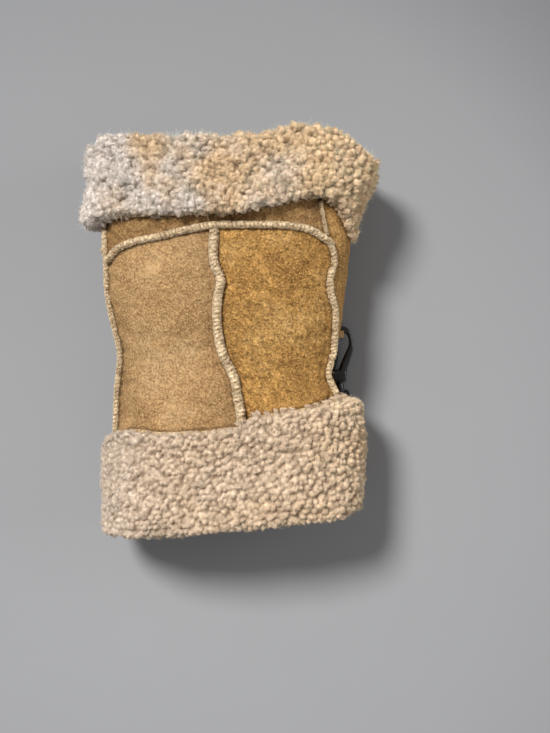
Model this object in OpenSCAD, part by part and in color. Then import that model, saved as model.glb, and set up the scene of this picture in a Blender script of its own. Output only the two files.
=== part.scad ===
// Sheepskin hand warmer muff: a flattened tube lying on its side, suede out and wool in, both ends
// turned back as wool cuffs, with a snap hook clipped to a leather tab in the right side seam.
// The tube runs along Y, Z is up, and the muff rests on z = 0.

/* [Tube] */
// Height of the tube's axis above the surface that it rests on
axis_height = 50; // [49:0.5:51]
// Suede surface above the axis
tube_up = 41; // [38:0.5:42]
// Suede surface below the axis
tube_down = 42; // [40:0.5:43]
// Squareness of the section: 2 is an ellipse, larger is boxier
squareness = 2.5; // [2.4:0.05:2.6]
// Thickness of the skin
skin_t = 1.8; // [1.5:0.1:2.2]
// Depth of the wool inside the tube
wool_t = 10; // [8:0.5:12]

/* [Cuffs] */
// Top of the upper cuff's wool above the axis
upper_cuff_up = 56; // [55:0.5:58]
// Top of the lower cuff's wool above the axis
lower_cuff_up = 54; // [53:0.5:56]
// Reach of the upper cuff's wool to the left and to the right
upper_cuff_side = [116, 116]; // [115:1:120]
// Reach of the lower cuff's wool to the left and to the right
lower_cuff_side = [102, 106]; // [101:1:108]
// Length of the wool roll over each end of the tube
mouth_roll = 9; // [8:0.5:12]

/* [Seams] */
// Width of a seam's wool welt
welt_w = 7; // [5:0.5:8]
// Height of a welt above the suede
welt_h = 3.4; // [2.5:0.1:3.6]
// Distance between drawn stitches
stitch_pitch = 7; // [6:0.5:12]
// Radius of the thread
thread_r = 0.4; // [0.3:0.05:0.45]

/* [Tab and ring] */
// Width of the leather tab along the seam
tab_w = 6; // [5:0.5:6]
// Thickness of the folded tab
tab_t = 3.2; // [2.8:0.1:3.6]
// Length of the tab from the seam to the ring's bar
tab_length = 13; // [12.5:0.1:13.5]
// Radius of the ring's wire
ring_wire_r = 0.95; // [0.85:0.01:0.95]
// Radius of the ring's bend, on the wire's centre line
ring_r = 7; // [6.9:0.05:7.1]

/* [Snap hook] */
// Radius of the crook, on its centre line
crook_r = 6.8; // [6.7:0.05:6.9]
// Radius of the hook's section
hook_wire_r = 2.1; // [2:0.05:2.1]
// Radius of the hook's spine
spine_r = 2.7; // [2.4:0.1:2.8]
// Thickness of the hook's base
base_t = 6.4; // [6.2:0.1:6.8]
// Radius of the gate's pin
pin_r = 0.8; // [0.7:0.05:0.85]
// Radius of the swivel's stem
stem_r = 1.7; // [1.5:0.05:1.75]
// Width of strap that the swivel eye takes
strap_w = 12; // [10:0.5:12]
// Slope of the hook, whose strap end rests lower than its crook
hook_tilt = 6; // [5:0.5:6]

/* [Hidden] */
suede = "#b5894f";
suede_pale = "#bb9769";
skin_edge = "#c9a878";
wool = "#d8c3a6";
welt_wool = "#e3cfae";
thread_brown = "#8d6a3c";
black_plastic = "#262524";
steel = "#a9abad";

gap = 0.4;
lining_gap = 1.2;
end_gap = 2;
seam_rise = 1.2;
thread_lift = 0.5;
running = 0.05;
seam_gap_deg = 0.65;

// Reach of the suede to the left and to the right at stations along the tube
left_reach = [[-150, 92], [-50, 89], [-32, 87.5], [-20, 85.5], [-8, 87.5], [5, 91.5], [30, 96.5], [66, 98], [150, 102]];
right_reach = [[-150, 88], [-50, 85.5], [-34, 79.5], [-2, 84.4], [30, 89], [66, 92.5], [150, 98]];
// Thinning of the upper cuff's wool at its right end, towards the rim
upper_taper = [[66, 19], [97, 11], [120, 0]];
function upper_cuff(y) =
    [upper_cuff_side[0], upper_cuff_side[1] - lookup(y, upper_taper), axis_height + 2, upper_cuff_up];
function lower_cuff(y) = [lower_cuff_side[0], lower_cuff_side[1], axis_height + 2, lower_cuff_up];

// Place of each cuff's turned-back rim and of each end of the muff, at stations across it
upper_rim = [[-99, 80], [-89, 86], [-4, 88], [22, 93], [62, 103], [78, 96], [86, 80], [93, 69]];
upper_end = [[-116, 140], [-102, 150], [26, 151], [58, 161], [82, 158], [115, 135]];
lower_rim = [
    [-102, -71], [-87, -72.5], [-55, -76.5], [-12, -73.5], [8, -71.5], [19, -64], [54, -60], [85, -55], [104, -50]
];
lower_end = [[-102, -160], [-76, -161], [9, -153], [70, -147], [87, -144], [104, -134]];

// The wandering lines of the seams on the upper face: x at stations along y, and y at stations along x
centre_line = [
    [-75, 9], [-60, 8.5], [-45, 5], [-30, 0.5], [-10, -7], [9, -10], [25, -11], [42, -9.5], [55, -14],
    [68, -15], [83, -12.5]
];
right_line = [
    [-50, 82], [-44, 79], [-35, 75.5], [-14, 79], [17, 80], [29, 76], [41, 75], [52, 78.5], [62, 79],
    [72, 76], [99, 73]
];
yoke_line = [[-98, 52], [-87, 64], [-71, 69], [-52, 72], [-32, 77], [-12, 82], [23, 83], [54, 80], [81, 70]];
back_yoke_y = 64;
left_seam_deg = 170;
back_seam_deg = 332;
back_centre_deg = 268;

// The tab stands square to the suede at the back side seam
ring_y = 1.7;
// The tab sits towards the ring's lower leg, which leaves room for the crook above it
tab_y = ring_y - 2.5;
tab_root = [78.6, tab_y, 25.2];
tab_slope = -44.7;
ring_slope = -80;
ring_leg = 3;
tab_end = tab_root + tab_length * [cos(tab_slope), 0, sin(tab_slope)];
bar_centre = [tab_end[0], ring_y, tab_end[2]];
bar_bore_r = ring_wire_r + running;

// The hook's own frame: the crook's centre is the origin and the strap end points along -y
crook_centre = [87.6, -3.1, 9.4];
nose_deg = 205;
crook_bore_r = crook_r - hook_wire_r + 0.2;
crook_start_deg = -22;
joint_swell = 0.25;
spine_bend = [5.0, -16];
spine_foot = [1.8, -27.5];
nose = crook_r * [cos(nose_deg), sin(nose_deg)];
crook_start = crook_r * [cos(crook_start_deg), sin(crook_start_deg)];
pin_at = [-5.6, -28.6];
gate_tip = [-3.0, -5.5];
gate_r = 1.5;
slot_h = 3.4;
knuckle_r = 2.1;
knuckle_h = 1.9;
coil_wire_r = 0.22;
base_low = -37;
base_left = -7.6;
base_right = 5;
base_high = -26.5;
swivel_x = -0.5;
head_r = stem_r + 0.75;
head_h = 2;
floor_t = 2.6;
collar_y = base_low - 0.4;
eye_high = -42;
eye_low = -55;
eye_rim = 2.2;
eye_t = 3.8;

// ---- The tube's surface ----

function mix(p, q, t) = p + (q - p) * t;
function signed_pow(v, p) = sign(v) * pow(abs(v), p);

// Point at angle a of a flattened section with reaches [left, right, down, up]
function ring_point(reach, a, y) =
    let (c = signed_pow(cos(a), 2 / squareness), s = signed_pow(sin(a), 2 / squareness))
    [
        c * (c < 0 ? reach[0] : reach[1]),
        y,
        max(0, axis_height + s * (s < 0 ? reach[2] : reach[3]))
    ];

// Point of the tube at angle a, distance y along it and rise d above the suede
function tube_point(a, y, d = 0) =
    ring_point([lookup(y, left_reach) + d, lookup(y, right_reach) + d, tube_down + d, tube_up + d], a, y);

// Angle at which the upper face of the tube has the given x
function angle_at(x, y) =
    acos(signed_pow(x / lookup(y, x < 0 ? left_reach : right_reach), squareness / 2));

function centre_deg(y) = angle_at(lookup(y, centre_line), y);
function right_deg(y) = angle_at(lookup(y, right_line), y);
function yoke_y(a) = lookup(tube_point(a, 75)[0], yoke_line);
function upper_end_y(a) = lookup(ring_point(upper_cuff(150), a, 0)[0], upper_end);
function lower_end_y(a) = lookup(ring_point(lower_cuff(0), a, 0)[0], lower_end);
function upper_rim_y(a) = lookup(tube_point(a, 75)[0], upper_rim);
function lower_rim_y(a) = lookup(ring_point(lower_cuff(0), a, 0)[0], lower_rim);
function tube_top_y(a) = upper_end_y(a) - mouth_roll;
function tube_bottom_y(a) = lower_end_y(a) + mouth_roll;

// ---- Soft solids ----

// Solid through a list of closed sections, as a ring or with an end face at each end
module loft(sections, ring = false) {
    count = len(sections);
    size = len(sections[0]);
    sides = [
        for (i = [0 : ring ? count - 1 : count - 2], j = [0 : size - 1])
            let (
                here = i * size + j,
                next = i * size + (j + 1) % size,
                over = (i + 1) % count * size + j,
                across = (i + 1) % count * size + (j + 1) % size
            )
            each [[here, over, next], [next, over, across]]
    ];
    last = (count - 1) * size;
    ends = ring ? [] : [
        for (j = [0 : size / 2 - 2])
            each [
                [j, j + 1, size - 1 - j], [j + 1, size - 2 - j, size - 1 - j],
                [last + j, last + size - 1 - j, last + j + 1],
                [last + j + 1, last + size - 1 - j, last + size - 2 - j]
            ]
    ];
    polyhedron([for (section = sections) each section], concat(sides, ends));
}

// [angle, y] at shares u across and v along a sheet whose sides follow y and whose ends follow the angle
function sheet_place(from, to, low, high, u, v, a, rounds = 6) =
    let (y = mix(low(a), high(a), v))
    rounds == 0 ? [a, y] : sheet_place(from, to, low, high, u, v, mix(from(y), to(y), u), rounds - 1);

// Curved sheet of the tube between two sides and two ends
module sheet(from, to, low, high, inner, outer, across = 9, along = 20) {
    middle = from(0) / 2 + to(0) / 2;
    loft([
        for (j = [0 : along])
            let (row = [
                for (i = [0 : across])
                    sheet_place(from, to, low, high, i / across, j / along, middle)
            ])
            concat(
                [for (i = [0 : across]) tube_point(row[i][0], row[i][1], outer)],
                [for (i = [across : -1 : 0]) tube_point(row[i][0], row[i][1], inner)]
            )
    ]);
}

module skin(from, to, low, high, across = 9, along = 20) {
    sheet(
        function(y) from(y) + seam_gap_deg, function(y) to(y) - seam_gap_deg, low, high, -skin_t, 0,
        across, along
    );
}

module lining(from, to, across = 8) {
    sheet(
        function(y) from(y) + seam_gap_deg, function(y) to(y) - seam_gap_deg,
        function(a) tube_bottom_y(a), function(a) tube_top_y(a),
        -skin_t - wool_t, -skin_t - lining_gap, across, 24
    );
}

// Turned-back skin around the tube, from near the rim to the tube's end
module cuff_skin(rim, end) {
    color(skin_edge)
        loft([
            for (a = [0 : 7.5 : 359])
                let (s = sign(end(a) - rim(a)), y0 = rim(a) + 3 * s, y1 = end(a) - s * mouth_roll)
                [
                    for (p = s > 0 ? [[y0, 0], [y0, 1], [y1, 1], [y1, 0]] : [[y0, 0], [y1, 0], [y1, 1], [y0, 1]])
                        tube_point(a, p[0], p[1] * skin_t + gap)
                ]
        ], ring = true);
}

// Wool of a cuff: outside the turned-back skin, rolled over the tube's end
module cuff_fleece(reach, rim, end) {
    under = skin_t + 2 * gap;
    inside = -skin_t - wool_t;
    color(wool)
        loft([
            for (a = [0 : 7.5 : 359])
                let (
                    y0 = rim(a),
                    y1 = end(a),
                    s = sign(y1 - y0),
                    stop = y1 - s * (mouth_roll - end_gap),
                    outer = [
                        for (p = [[0, 0.75], [0.07, 0.96], [0.3, 1], [0.7, 1], [0.9, 0.94], [0.98, 0.7]])
                            let (y = mix(y0, y1, p[0]))
                            mix(tube_point(a, y, under), ring_point(reach(y), a, y), p[1])
                    ],
                    loop = concat(
                        [tube_point(a, y0, under)],
                        outer,
                        [
                            tube_point(a, y1, under),
                            tube_point(a, y1, inside / 2),
                            tube_point(a, y1 - s * 2, inside),
                            tube_point(a, stop, inside),
                            tube_point(a, stop, under)
                        ]
                    )
                )
                s > 0 ? loop : [for (i = [len(loop) - 1 : -1 : 0]) loop[i]]
        ], ring = true);
}

// ---- Seams: each path is a list of [angle, y] stations ----

function front_yoke_path() = [for (i = [0 : 24]) let (a = mix(162, 38, i / 24)) [a, yoke_y(a)]];
function front_centre_path() =
    [for (i = [0 : 24]) let (y = mix(lower_rim_y(90) + 8, yoke_y(94) - 6, i / 24)) [centre_deg(y), y]];
function right_front_path() =
    [for (i = [0 : 24]) let (y = mix(-46, 64, i / 24)) [right_deg(y), y]];
function back_side_path(from, to) = [for (i = [0 : 10]) [back_seam_deg, mix(from, to, i / 10)]];
function left_path() = [for (i = [0 : 20]) [left_seam_deg, mix(-68, 76, i / 20)]];
function back_yoke_path() = [for (i = [0 : 20]) [mix(180, 322, i / 20), back_yoke_y]];
function back_centre_path() =
    let (low = lower_rim_y(back_centre_deg) + 2, high = back_yoke_y - 6)
    [for (i = [0 : 16]) [back_centre_deg, mix(low, high, i / 16)]];

function unit(v) = v / norm(v);
// Direction along a path, and the direction across it in the suede's surface
function along_path(path, i) =
    let (p = path[max(i - 1, 0)], q = path[min(i + 1, len(path) - 1)])
    unit(tube_point(q[0], q[1]) - tube_point(p[0], p[1]));
function outward(a, y) = unit(tube_point(a, y, 1) - tube_point(a, y, 0));
function beside_path(path, i) = unit(cross(outward(path[i][0], path[i][1]), along_path(path, i)));

// Half-round bead of wool along a seam
module welt(path) {
    color(welt_wool)
        loft([
            for (i = [0 : len(path) - 1])
                let (
                    out = outward(path[i][0], path[i][1]),
                    side = beside_path(path, i) * welt_w / 2,
                    foot = tube_point(path[i][0], path[i][1]) + out * seam_rise
                )
                [
                    foot - side, foot - side * 0.85 + out * welt_h * 0.6, foot - side * 0.35 + out * welt_h,
                    foot + side * 0.35 + out * welt_h, foot + side * 0.85 + out * welt_h * 0.6, foot + side
                ]
        ]);
}

module rod(p, q, r) {
    d = q - p;
    translate(p)
        rotate([0, acos(d[2] / norm(d)), atan2(d[1], d[0])])
            cylinder(h = norm(d), r = r, $fn = 24);
}

// Stitches that cross over a welt, evenly spaced along it
module thread(path) {
    start = tube_point(path[0][0], path[0][1]);
    finish = tube_point(path[len(path) - 1][0], path[len(path) - 1][1]);
    stitches = floor(norm(finish - start) / stitch_pitch);
    rise = seam_rise + welt_h + thread_r + thread_lift;
    color(thread_brown)
        for (k = [0 : stitches - 1]) {
            i = round((k + 0.5) / stitches * (len(path) - 1));
            t = (k + 0.5) / stitches * (len(path) - 1);
            a = mix(path[floor(t)][0], path[ceil(t)][0], t - floor(t));
            y = mix(path[floor(t)][1], path[ceil(t)][1], t - floor(t));
            middle = tube_point(a, y) + outward(a, y) * rise;
            side = beside_path(path, i) * welt_w * 0.42;
            rod(middle - side, middle + side, thread_r);
        }
}

// ---- Skins ----

module front_left_panel() {
    color(suede_pale)
        skin(
            function(y) centre_deg(y), function(y) left_seam_deg,
            function(a) tube_bottom_y(a), function(a) yoke_y(a) - 0.5
        );
}

module front_right_panel() {
    color(suede)
        skin(
            function(y) right_deg(y), function(y) centre_deg(y),
            function(a) tube_bottom_y(a), function(a) yoke_y(a) - 0.5
        );
}

module front_yoke() {
    color(suede)
        skin(
            function(y) right_deg(y), function(y) left_seam_deg,
            function(a) yoke_y(a) + 0.5, function(a) tube_top_y(a), 18, 6
        );
}

module right_gusset() {
    color(suede)
        skin(
            function(y) back_seam_deg - 360, function(y) right_deg(y),
            function(a) tube_bottom_y(a), function(a) tube_top_y(a), 6, 26
        );
}

module back_left_panel() {
    color(suede_pale)
        skin(
            function(y) left_seam_deg, function(y) back_centre_deg,
            function(a) tube_bottom_y(a), function(a) back_yoke_y - 0.5
        );
}

module back_right_panel() {
    color(suede)
        skin(
            function(y) back_centre_deg, function(y) back_seam_deg,
            function(a) tube_bottom_y(a), function(a) back_yoke_y - 0.5
        );
}

module back_yoke() {
    color(suede)
        skin(
            function(y) left_seam_deg, function(y) back_seam_deg,
            function(a) back_yoke_y + 0.5, function(a) tube_top_y(a), 18, 5
        );
}

// ---- Wool inside the tube ----

module front_left_lining() {
    color(wool) lining(function(y) centre_deg(y), function(y) left_seam_deg);
}

module front_right_lining() {
    color(wool) lining(function(y) right_deg(y), function(y) centre_deg(y));
}

module gusset_lining() {
    color(wool) lining(function(y) back_seam_deg - 360, function(y) right_deg(y), 5);
}

module back_left_lining() {
    color(wool) lining(function(y) left_seam_deg, function(y) back_centre_deg);
}

module back_right_lining() {
    color(wool) lining(function(y) back_centre_deg, function(y) back_seam_deg);
}

// ---- Cuffs ----

module upper_cuff_skin() {
    cuff_skin(function(a) upper_rim_y(a), function(a) upper_end_y(a));
}

module upper_cuff_fleece() {
    cuff_fleece(function(y) upper_cuff(y), function(a) upper_rim_y(a), function(a) upper_end_y(a));
}

module lower_cuff_skin() {
    cuff_skin(function(a) lower_rim_y(a), function(a) lower_end_y(a));
}

module lower_cuff_fleece() {
    cuff_fleece(function(y) lower_cuff(y), function(a) lower_rim_y(a), function(a) lower_end_y(a));
}

// ---- Welts and threads ----

module right_back_welt() {
    welt(back_side_path(-50, tab_y - tab_w / 2 - 1));
    welt(back_side_path(tab_y + tab_w / 2 + 1, back_yoke_y - 6));
}

module right_back_thread() {
    thread(back_side_path(-50, tab_y - tab_w / 2 - 1));
    thread(back_side_path(tab_y + tab_w / 2 + 1, back_yoke_y - 6));
}

// ---- Tab and ring ----

// Leather folded round the ring's bar, with its two ends sewn into the seam
module hang_tab() {
    color(suede_pale)
        difference() {
            translate(tab_root)
                rotate([90, 0, 0])
                    rotate(tab_slope) {
                        translate([0, 0, -tab_w / 2])
                            linear_extrude(tab_w) {
                                circle(tab_t / 2, $fn = 48);
                                translate([0, -tab_t / 2]) square([tab_length, tab_t]);
                                translate([tab_length, 0]) circle(tab_t / 2 + 1, $fn = 48);
                            }
                    }
            translate(tab_end)
                rotate([90, 0, 0])
                    cylinder(h = tab_w + 2, r = bar_bore_r, center = true, $fn = 48);
        }
}

// Wire ring with a straight bar, hanging from the tab
module d_ring() {
    color(steel)
        translate(bar_centre)
            rotate([0, -ring_slope, 0])
                rotate([0, 0, -90]) {
                    rotate([0, 90, 0]) cylinder(h = 2 * ring_r, r = ring_wire_r, center = true, $fn = 48);
                    for (x = [-ring_r, ring_r])
                        translate([x, 0, 0]) {
                            sphere(ring_wire_r, $fn = 48);
                            rotate([-90, 0, 0]) cylinder(h = ring_leg, r = ring_wire_r, $fn = 48);
                        }
                    translate([0, ring_leg, 0])
                        rotate_extrude(angle = 180, $fn = 96)
                            translate([ring_r, 0]) circle(ring_wire_r, $fn = 48);
                }
}

// ---- Snap hook ----

function flat(p) = [p[0], p[1], 0];

module in_hook_frame() {
    translate(crook_centre) rotate([hook_tilt, 0, 0]) children();
}

module hook_body() {
    color(black_plastic)
        in_hook_frame()
            difference() {
                union() {
                    rotate([0, 0, crook_start_deg])
                        rotate_extrude(angle = nose_deg - crook_start_deg, $fn = 96)
                            translate([crook_r, 0]) circle(hook_wire_r, $fn = 48);
                    for (p = [nose, crook_start])
                        translate(flat(p)) sphere(hook_wire_r + joint_swell, $fn = 48);
                    rod(flat(crook_start), flat(spine_bend), hook_wire_r - 0.1);
                    translate(flat(spine_bend)) sphere(spine_r + joint_swell, $fn = 48);
                    rod(flat(spine_bend), flat(spine_foot), spine_r);
                    translate([base_left, base_low, -base_t / 2])
                        cube([base_right - base_left, base_high - base_low, base_t]);
                }
                // Bearing face inside the crook, where it turns on the ring
                cylinder(h = hook_wire_r * 3, r = crook_bore_r, center = true, $fn = 96);
                // Slot for the gate's knuckle and its spring
                translate([base_left - 1, pin_at[1] - knuckle_r - 0.4, -slot_h / 2])
                    cube([knuckle_r * 2 + 1.6, knuckle_r * 2 + 20, slot_h]);
                translate([pin_at[0], pin_at[1], 0])
                    cylinder(h = base_t + 2, r = pin_r, center = true, $fn = 48);
                // Swivel's bore, and the pocket that holds its head
                translate([swivel_x, base_low - 1, 0])
                    rotate([-90, 0, 0]) cylinder(h = floor_t + 2, r = stem_r + running, $fn = 48);
                translate([swivel_x, base_low + floor_t, 0])
                    rotate([-90, 0, 0]) cylinder(h = head_h + 0.4, r = head_r + running, $fn = 48);
            }
}

module gate_pin() {
    color(steel)
        in_hook_frame()
            translate([pin_at[0], pin_at[1], 0]) cylinder(h = base_t, r = pin_r, center = true, $fn = 48);
}

// Coil round the gate's pin, beside the knuckle
module gate_spring() {
    color(steel)
        in_hook_frame()
            for (turn = [0, 1])
                translate([pin_at[0], pin_at[1], 0.7 + turn * 0.5])
                    rotate_extrude($fn = 48)
                        translate([pin_r + 0.2 + coil_wire_r, 0]) circle(coil_wire_r, $fn = 24);
}

module hook_gate() {
    lift = -slot_h / 2 + 0.15;
    color(black_plastic)
        in_hook_frame()
            difference() {
                union() {
                    translate([pin_at[0], pin_at[1], lift]) cylinder(h = knuckle_h, r = knuckle_r, $fn = 48);
                    hull() {
                        translate([pin_at[0], pin_at[1] + knuckle_r + 0.8, lift + knuckle_h / 2])
                            sphere(knuckle_h / 2, $fn = 32);
                        translate([gate_tip[0], gate_tip[1], 0]) sphere(gate_r, $fn = 32);
                    }
                    translate([pin_at[0] - 0.9, pin_at[1], lift]) cube([1.8, knuckle_r + 1.2, knuckle_h]);
                }
                translate([pin_at[0], pin_at[1], lift - 1])
                    cylinder(h = knuckle_h + 2, r = pin_r + running, $fn = 48);
            }
}

// Strap eye on a stem that turns in the hook's base
module swivel_eye() {
    outer_w = strap_w + 2 * eye_rim;
    color(black_plastic)
        in_hook_frame()
            translate([swivel_x, 0, 0]) {
                translate([0, collar_y - 0.1, 0])
                    rotate([-90, 0, 0]) cylinder(h = floor_t + 0.4 + 0.35, r = stem_r, $fn = 48);
                translate([0, base_low + floor_t + 0.2, 0])
                    rotate([-90, 0, 0]) cylinder(h = head_h, r = head_r, $fn = 48);
                translate([0, eye_high - 1, 0])
                    rotate([-90, 0, 0]) cylinder(h = collar_y - eye_high + 1, r = stem_r + 1, $fn = 48);
                translate([0, 0, -eye_t / 2])
                    linear_extrude(eye_t)
                        difference() {
                            union() {
                                translate([-outer_w / 2 + 3, eye_low])
                                    square([outer_w - 6, eye_high - eye_low]);
                                translate([-outer_w / 2, eye_low + 3])
                                    square([outer_w, eye_high - eye_low - 6]);
                                for (x = [-1, 1], y = [eye_low + 3, eye_high - 3])
                                    translate([x * (outer_w / 2 - 3), y]) circle(3, $fn = 48);
                            }
                            translate([-strap_w / 2, eye_low + eye_rim])
                                square([strap_w, eye_high - eye_low - 2 * eye_rim - 1.5]);
                        }
            }
}

front_left_panel();
front_right_panel();
front_yoke();
right_gusset();
back_left_panel();
back_right_panel();
back_yoke();
front_left_lining();
front_right_lining();
gusset_lining();
back_left_lining();
back_right_lining();
upper_cuff_skin();
upper_cuff_fleece();
lower_cuff_skin();
lower_cuff_fleece();
welt(front_yoke_path());  // front_yoke_welt
welt(front_centre_path());  // front_centre_welt
welt(right_front_path());  // right_front_welt
right_back_welt();
welt(left_path());  // left_welt
welt(back_yoke_path());  // back_yoke_welt
welt(back_centre_path());  // back_centre_welt
thread(front_yoke_path());  // front_yoke_thread
thread(front_centre_path());  // front_centre_thread
thread(right_front_path());  // right_front_thread
right_back_thread();
thread(left_path());  // left_thread
thread(back_yoke_path());  // back_yoke_thread
thread(back_centre_path());  // back_centre_thread
hang_tab();
d_ring();
hook_body();
gate_pin();
gate_spring();
hook_gate();
swivel_eye();
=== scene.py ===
import math

import bmesh
import bpy
import numpy as np
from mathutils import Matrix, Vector
from mathutils.kdtree import KDTree


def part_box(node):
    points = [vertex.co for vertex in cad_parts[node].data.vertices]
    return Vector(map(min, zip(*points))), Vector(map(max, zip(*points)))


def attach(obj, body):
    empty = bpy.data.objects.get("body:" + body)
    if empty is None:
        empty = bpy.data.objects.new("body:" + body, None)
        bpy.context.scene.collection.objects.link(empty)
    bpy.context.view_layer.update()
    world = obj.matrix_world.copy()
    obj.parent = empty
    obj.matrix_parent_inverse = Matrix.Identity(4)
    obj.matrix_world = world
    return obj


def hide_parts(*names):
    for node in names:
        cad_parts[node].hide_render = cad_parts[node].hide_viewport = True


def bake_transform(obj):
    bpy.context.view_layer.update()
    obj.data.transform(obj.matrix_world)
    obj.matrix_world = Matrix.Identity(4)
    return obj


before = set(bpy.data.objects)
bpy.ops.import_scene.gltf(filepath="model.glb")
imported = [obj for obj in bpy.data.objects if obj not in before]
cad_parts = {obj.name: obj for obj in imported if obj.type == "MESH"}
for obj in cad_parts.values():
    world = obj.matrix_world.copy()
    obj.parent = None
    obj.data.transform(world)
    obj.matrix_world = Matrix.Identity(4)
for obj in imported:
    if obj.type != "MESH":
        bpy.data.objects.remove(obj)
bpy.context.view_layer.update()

MM = 0.001

# ---- The design's dimensions ----

AXIS_HEIGHT = 50
TUBE_UP = 41
TUBE_DOWN = 42
SQUARENESS = 2.5
SKIN_T = 1.8
WOOL_T = 10
MOUTH_ROLL = 9
LEFT_REACH = [
    (-150, 92), (-50, 89), (-32, 87.5), (-20, 85.5), (-8, 87.5), (5, 91.5), (30, 96.5), (66, 98), (150, 102),
]
RIGHT_REACH = [(-150, 88), (-50, 85.5), (-34, 77), (-2, 84.4), (30, 89), (66, 92.5), (150, 98)]
UPPER_TAPER = [(66, 19), (97, 11), (120, 0)]
UPPER_RIM = [(-99, 80), (-89, 86), (-4, 88), (22, 93), (62, 103), (78, 96), (86, 80), (93, 69)]
UPPER_END = [(-116, 140), (-102, 149), (26, 148), (58, 160), (82, 155), (115, 134)]
LOWER_RIM = [
    (-104, -90), (-98, -79), (-87, -73.5), (-55, -76.5), (-12, -73.5), (8, -71.5), (19, -64), (54, -60),
    (85, -55), (104, -50),
]
LOWER_END = [(-102, -158), (-76, -159), (9, -151), (70, -146.5), (90, -145), (104, -140)]
CENTRE_LINE = [
    (-75, 9), (-61, 8), (-48, 5.6), (-37, 3.9), (-28, 0.1), (-20, -4.6), (-11, -7.4), (0, -9), (10, -9.8),
    (20, -9.8), (30, -8.2), (38, -6.5), (43, -8), (48, -11), (55, -12.6), (65, -12.4), (83, -11.4),
]
RIGHT_LINE = [
    (-50, 81), (-43, 78), (-34, 73.5), (-25, 76), (-14, 79), (17, 80), (29, 76), (41, 75), (52, 79), (62, 78),
    (72, 73), (99, 68),
]
YOKE_LINE = [
    (-98, 52), (-87, 64), (-71, 69), (-52, 72), (-32, 77), (-12, 80.5), (37, 80.5), (52, 79.5), (60, 77.5),
    (67, 74), (81, 64),
]
BACK_YOKE_Y = 64
LEFT_SEAM = 170
BACK_SEAM = 332
BACK_CENTRE = 268
STITCH = 3.0
YOKE_PLANE = 75.0
GROUND_CLEARANCE = 0.4


# ---- Numbers ----

def smooth_line(table, blur=3.0, step=0.5):
    """Function through a short table of stations, with its corners rounded off."""
    x, y = np.array(table, float).T
    at = np.arange(x[0] - 60, x[-1] + 60, step)
    reach = int(3 * blur / step)
    kernel = np.exp(-0.5 * (np.arange(-reach, reach + 1) * step / blur) ** 2)
    values = np.pad(np.interp(at, x, y), reach, mode="edge")
    values = np.convolve(values, kernel / kernel.sum(), mode="valid")
    return lambda v: np.interp(v, at, values)


def mix(p, q, t):
    return p + (q - p) * t


def signed_pow(v, p):
    return np.sign(v) * np.abs(v) ** p


def unit(v):
    return v / np.maximum(np.linalg.norm(v, axis=-1, keepdims=True), 1e-9)


def clip01(v):
    return np.clip(v, 0, 1)


def bell(v, width):
    return np.exp(-((v / width) ** 2))


def run_along(points):
    """Length along a line of points, from 0 at its first point."""
    return np.concatenate([[0], np.cumsum(np.linalg.norm(np.diff(points, axis=0), axis=-1))])


def circle(count):
    return np.linspace(0, 2 * math.pi, count, endpoint=False)


def bilinear(field, i, j):
    """Value of a grid field that closes on itself across, at fractional rows i and columns j."""
    i0, j0 = np.floor(i).astype(int), np.floor(j).astype(int)
    fi, fj = (i - i0)[..., None], (j - j0)[..., None]
    i0, i1 = i0 % len(field), (i0 + 1) % len(field)
    return mix(mix(field[i0, j0], field[i1, j0], fi), mix(field[i0, j0 + 1], field[i1, j0 + 1], fi), fj)


def tree_of(points):
    """Tree that finds the nearest of some points."""
    tree = KDTree(len(points))
    for index, point in enumerate(points):
        tree.insert(point, index)
    tree.balance()
    return tree


def lattice_noise(p, scale, seed):
    """Smooth noise from -1 to 1 at points p, with features of about scale millimetres."""
    q = np.asarray(p, float) / scale + 1000 + seed * 17.3
    base = np.floor(q).astype(np.int64)
    f = q - base
    f = f * f * (3 - 2 * f)
    total = 0
    for corner in range(8):
        step = np.array([corner & 1, corner >> 1 & 1, corner >> 2 & 1])
        c = base + step
        h = c[..., 0] * 73856093 ^ c[..., 1] * 19349663 ^ c[..., 2] * 83492791 ^ seed * 2654435761
        h = (h ^ h >> 13) * 1274126177 & 0xFFFFFFFF
        h = (h ^ h >> 16) & 0xFFFF
        w = np.prod(np.where(step == 1, f, 1 - f), axis=-1)
        total = total + w * (h / 32767.5 - 1)
    return total


def fractal(p, scale, seed, octaves=3):
    return sum(lattice_noise(p, scale / 2 ** k, seed + k) / 2 ** k for k in range(octaves))


left_reach = smooth_line(LEFT_REACH, 6)
right_reach = smooth_line(RIGHT_REACH, 6)
centre_x = smooth_line(CENTRE_LINE, 2.5)
right_x = smooth_line(RIGHT_LINE, 2.5)
upper_taper = smooth_line(UPPER_TAPER, 5)


# ---- The tube's surface ----

def ring_point(reach, a, y):
    left, right, down, up = reach
    c = signed_pow(np.cos(np.radians(a)), 2 / SQUARENESS)
    s = signed_pow(np.sin(np.radians(a)), 2 / SQUARENESS)
    x = c * np.where(c < 0, left, right)
    z = np.maximum(0, AXIS_HEIGHT + s * np.where(s < 0, down, up))
    return np.stack(np.broadcast_arrays(x, y, z), axis=-1).astype(float)


def upper_cuff(y):
    return 116, 116 - upper_taper(y), 52, 56


def lower_cuff(y):
    return 102, 106, 52, 54


def tube_point(a, y, d=0.0):
    return ring_point((left_reach(y) + d, right_reach(y) + d, TUBE_DOWN + d, TUBE_UP + d), a, y)


def outward(a, y):
    return unit(tube_point(a, y, 1.0) - tube_point(a, y, 0.0))


def angle_at(x, y):
    """Angle at which the tube's upper face has the given x."""
    reach = np.where(x < 0, left_reach(y), right_reach(y))
    return np.degrees(np.arccos(np.clip(signed_pow(x / reach, SQUARENESS / 2), -1, 1)))


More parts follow.
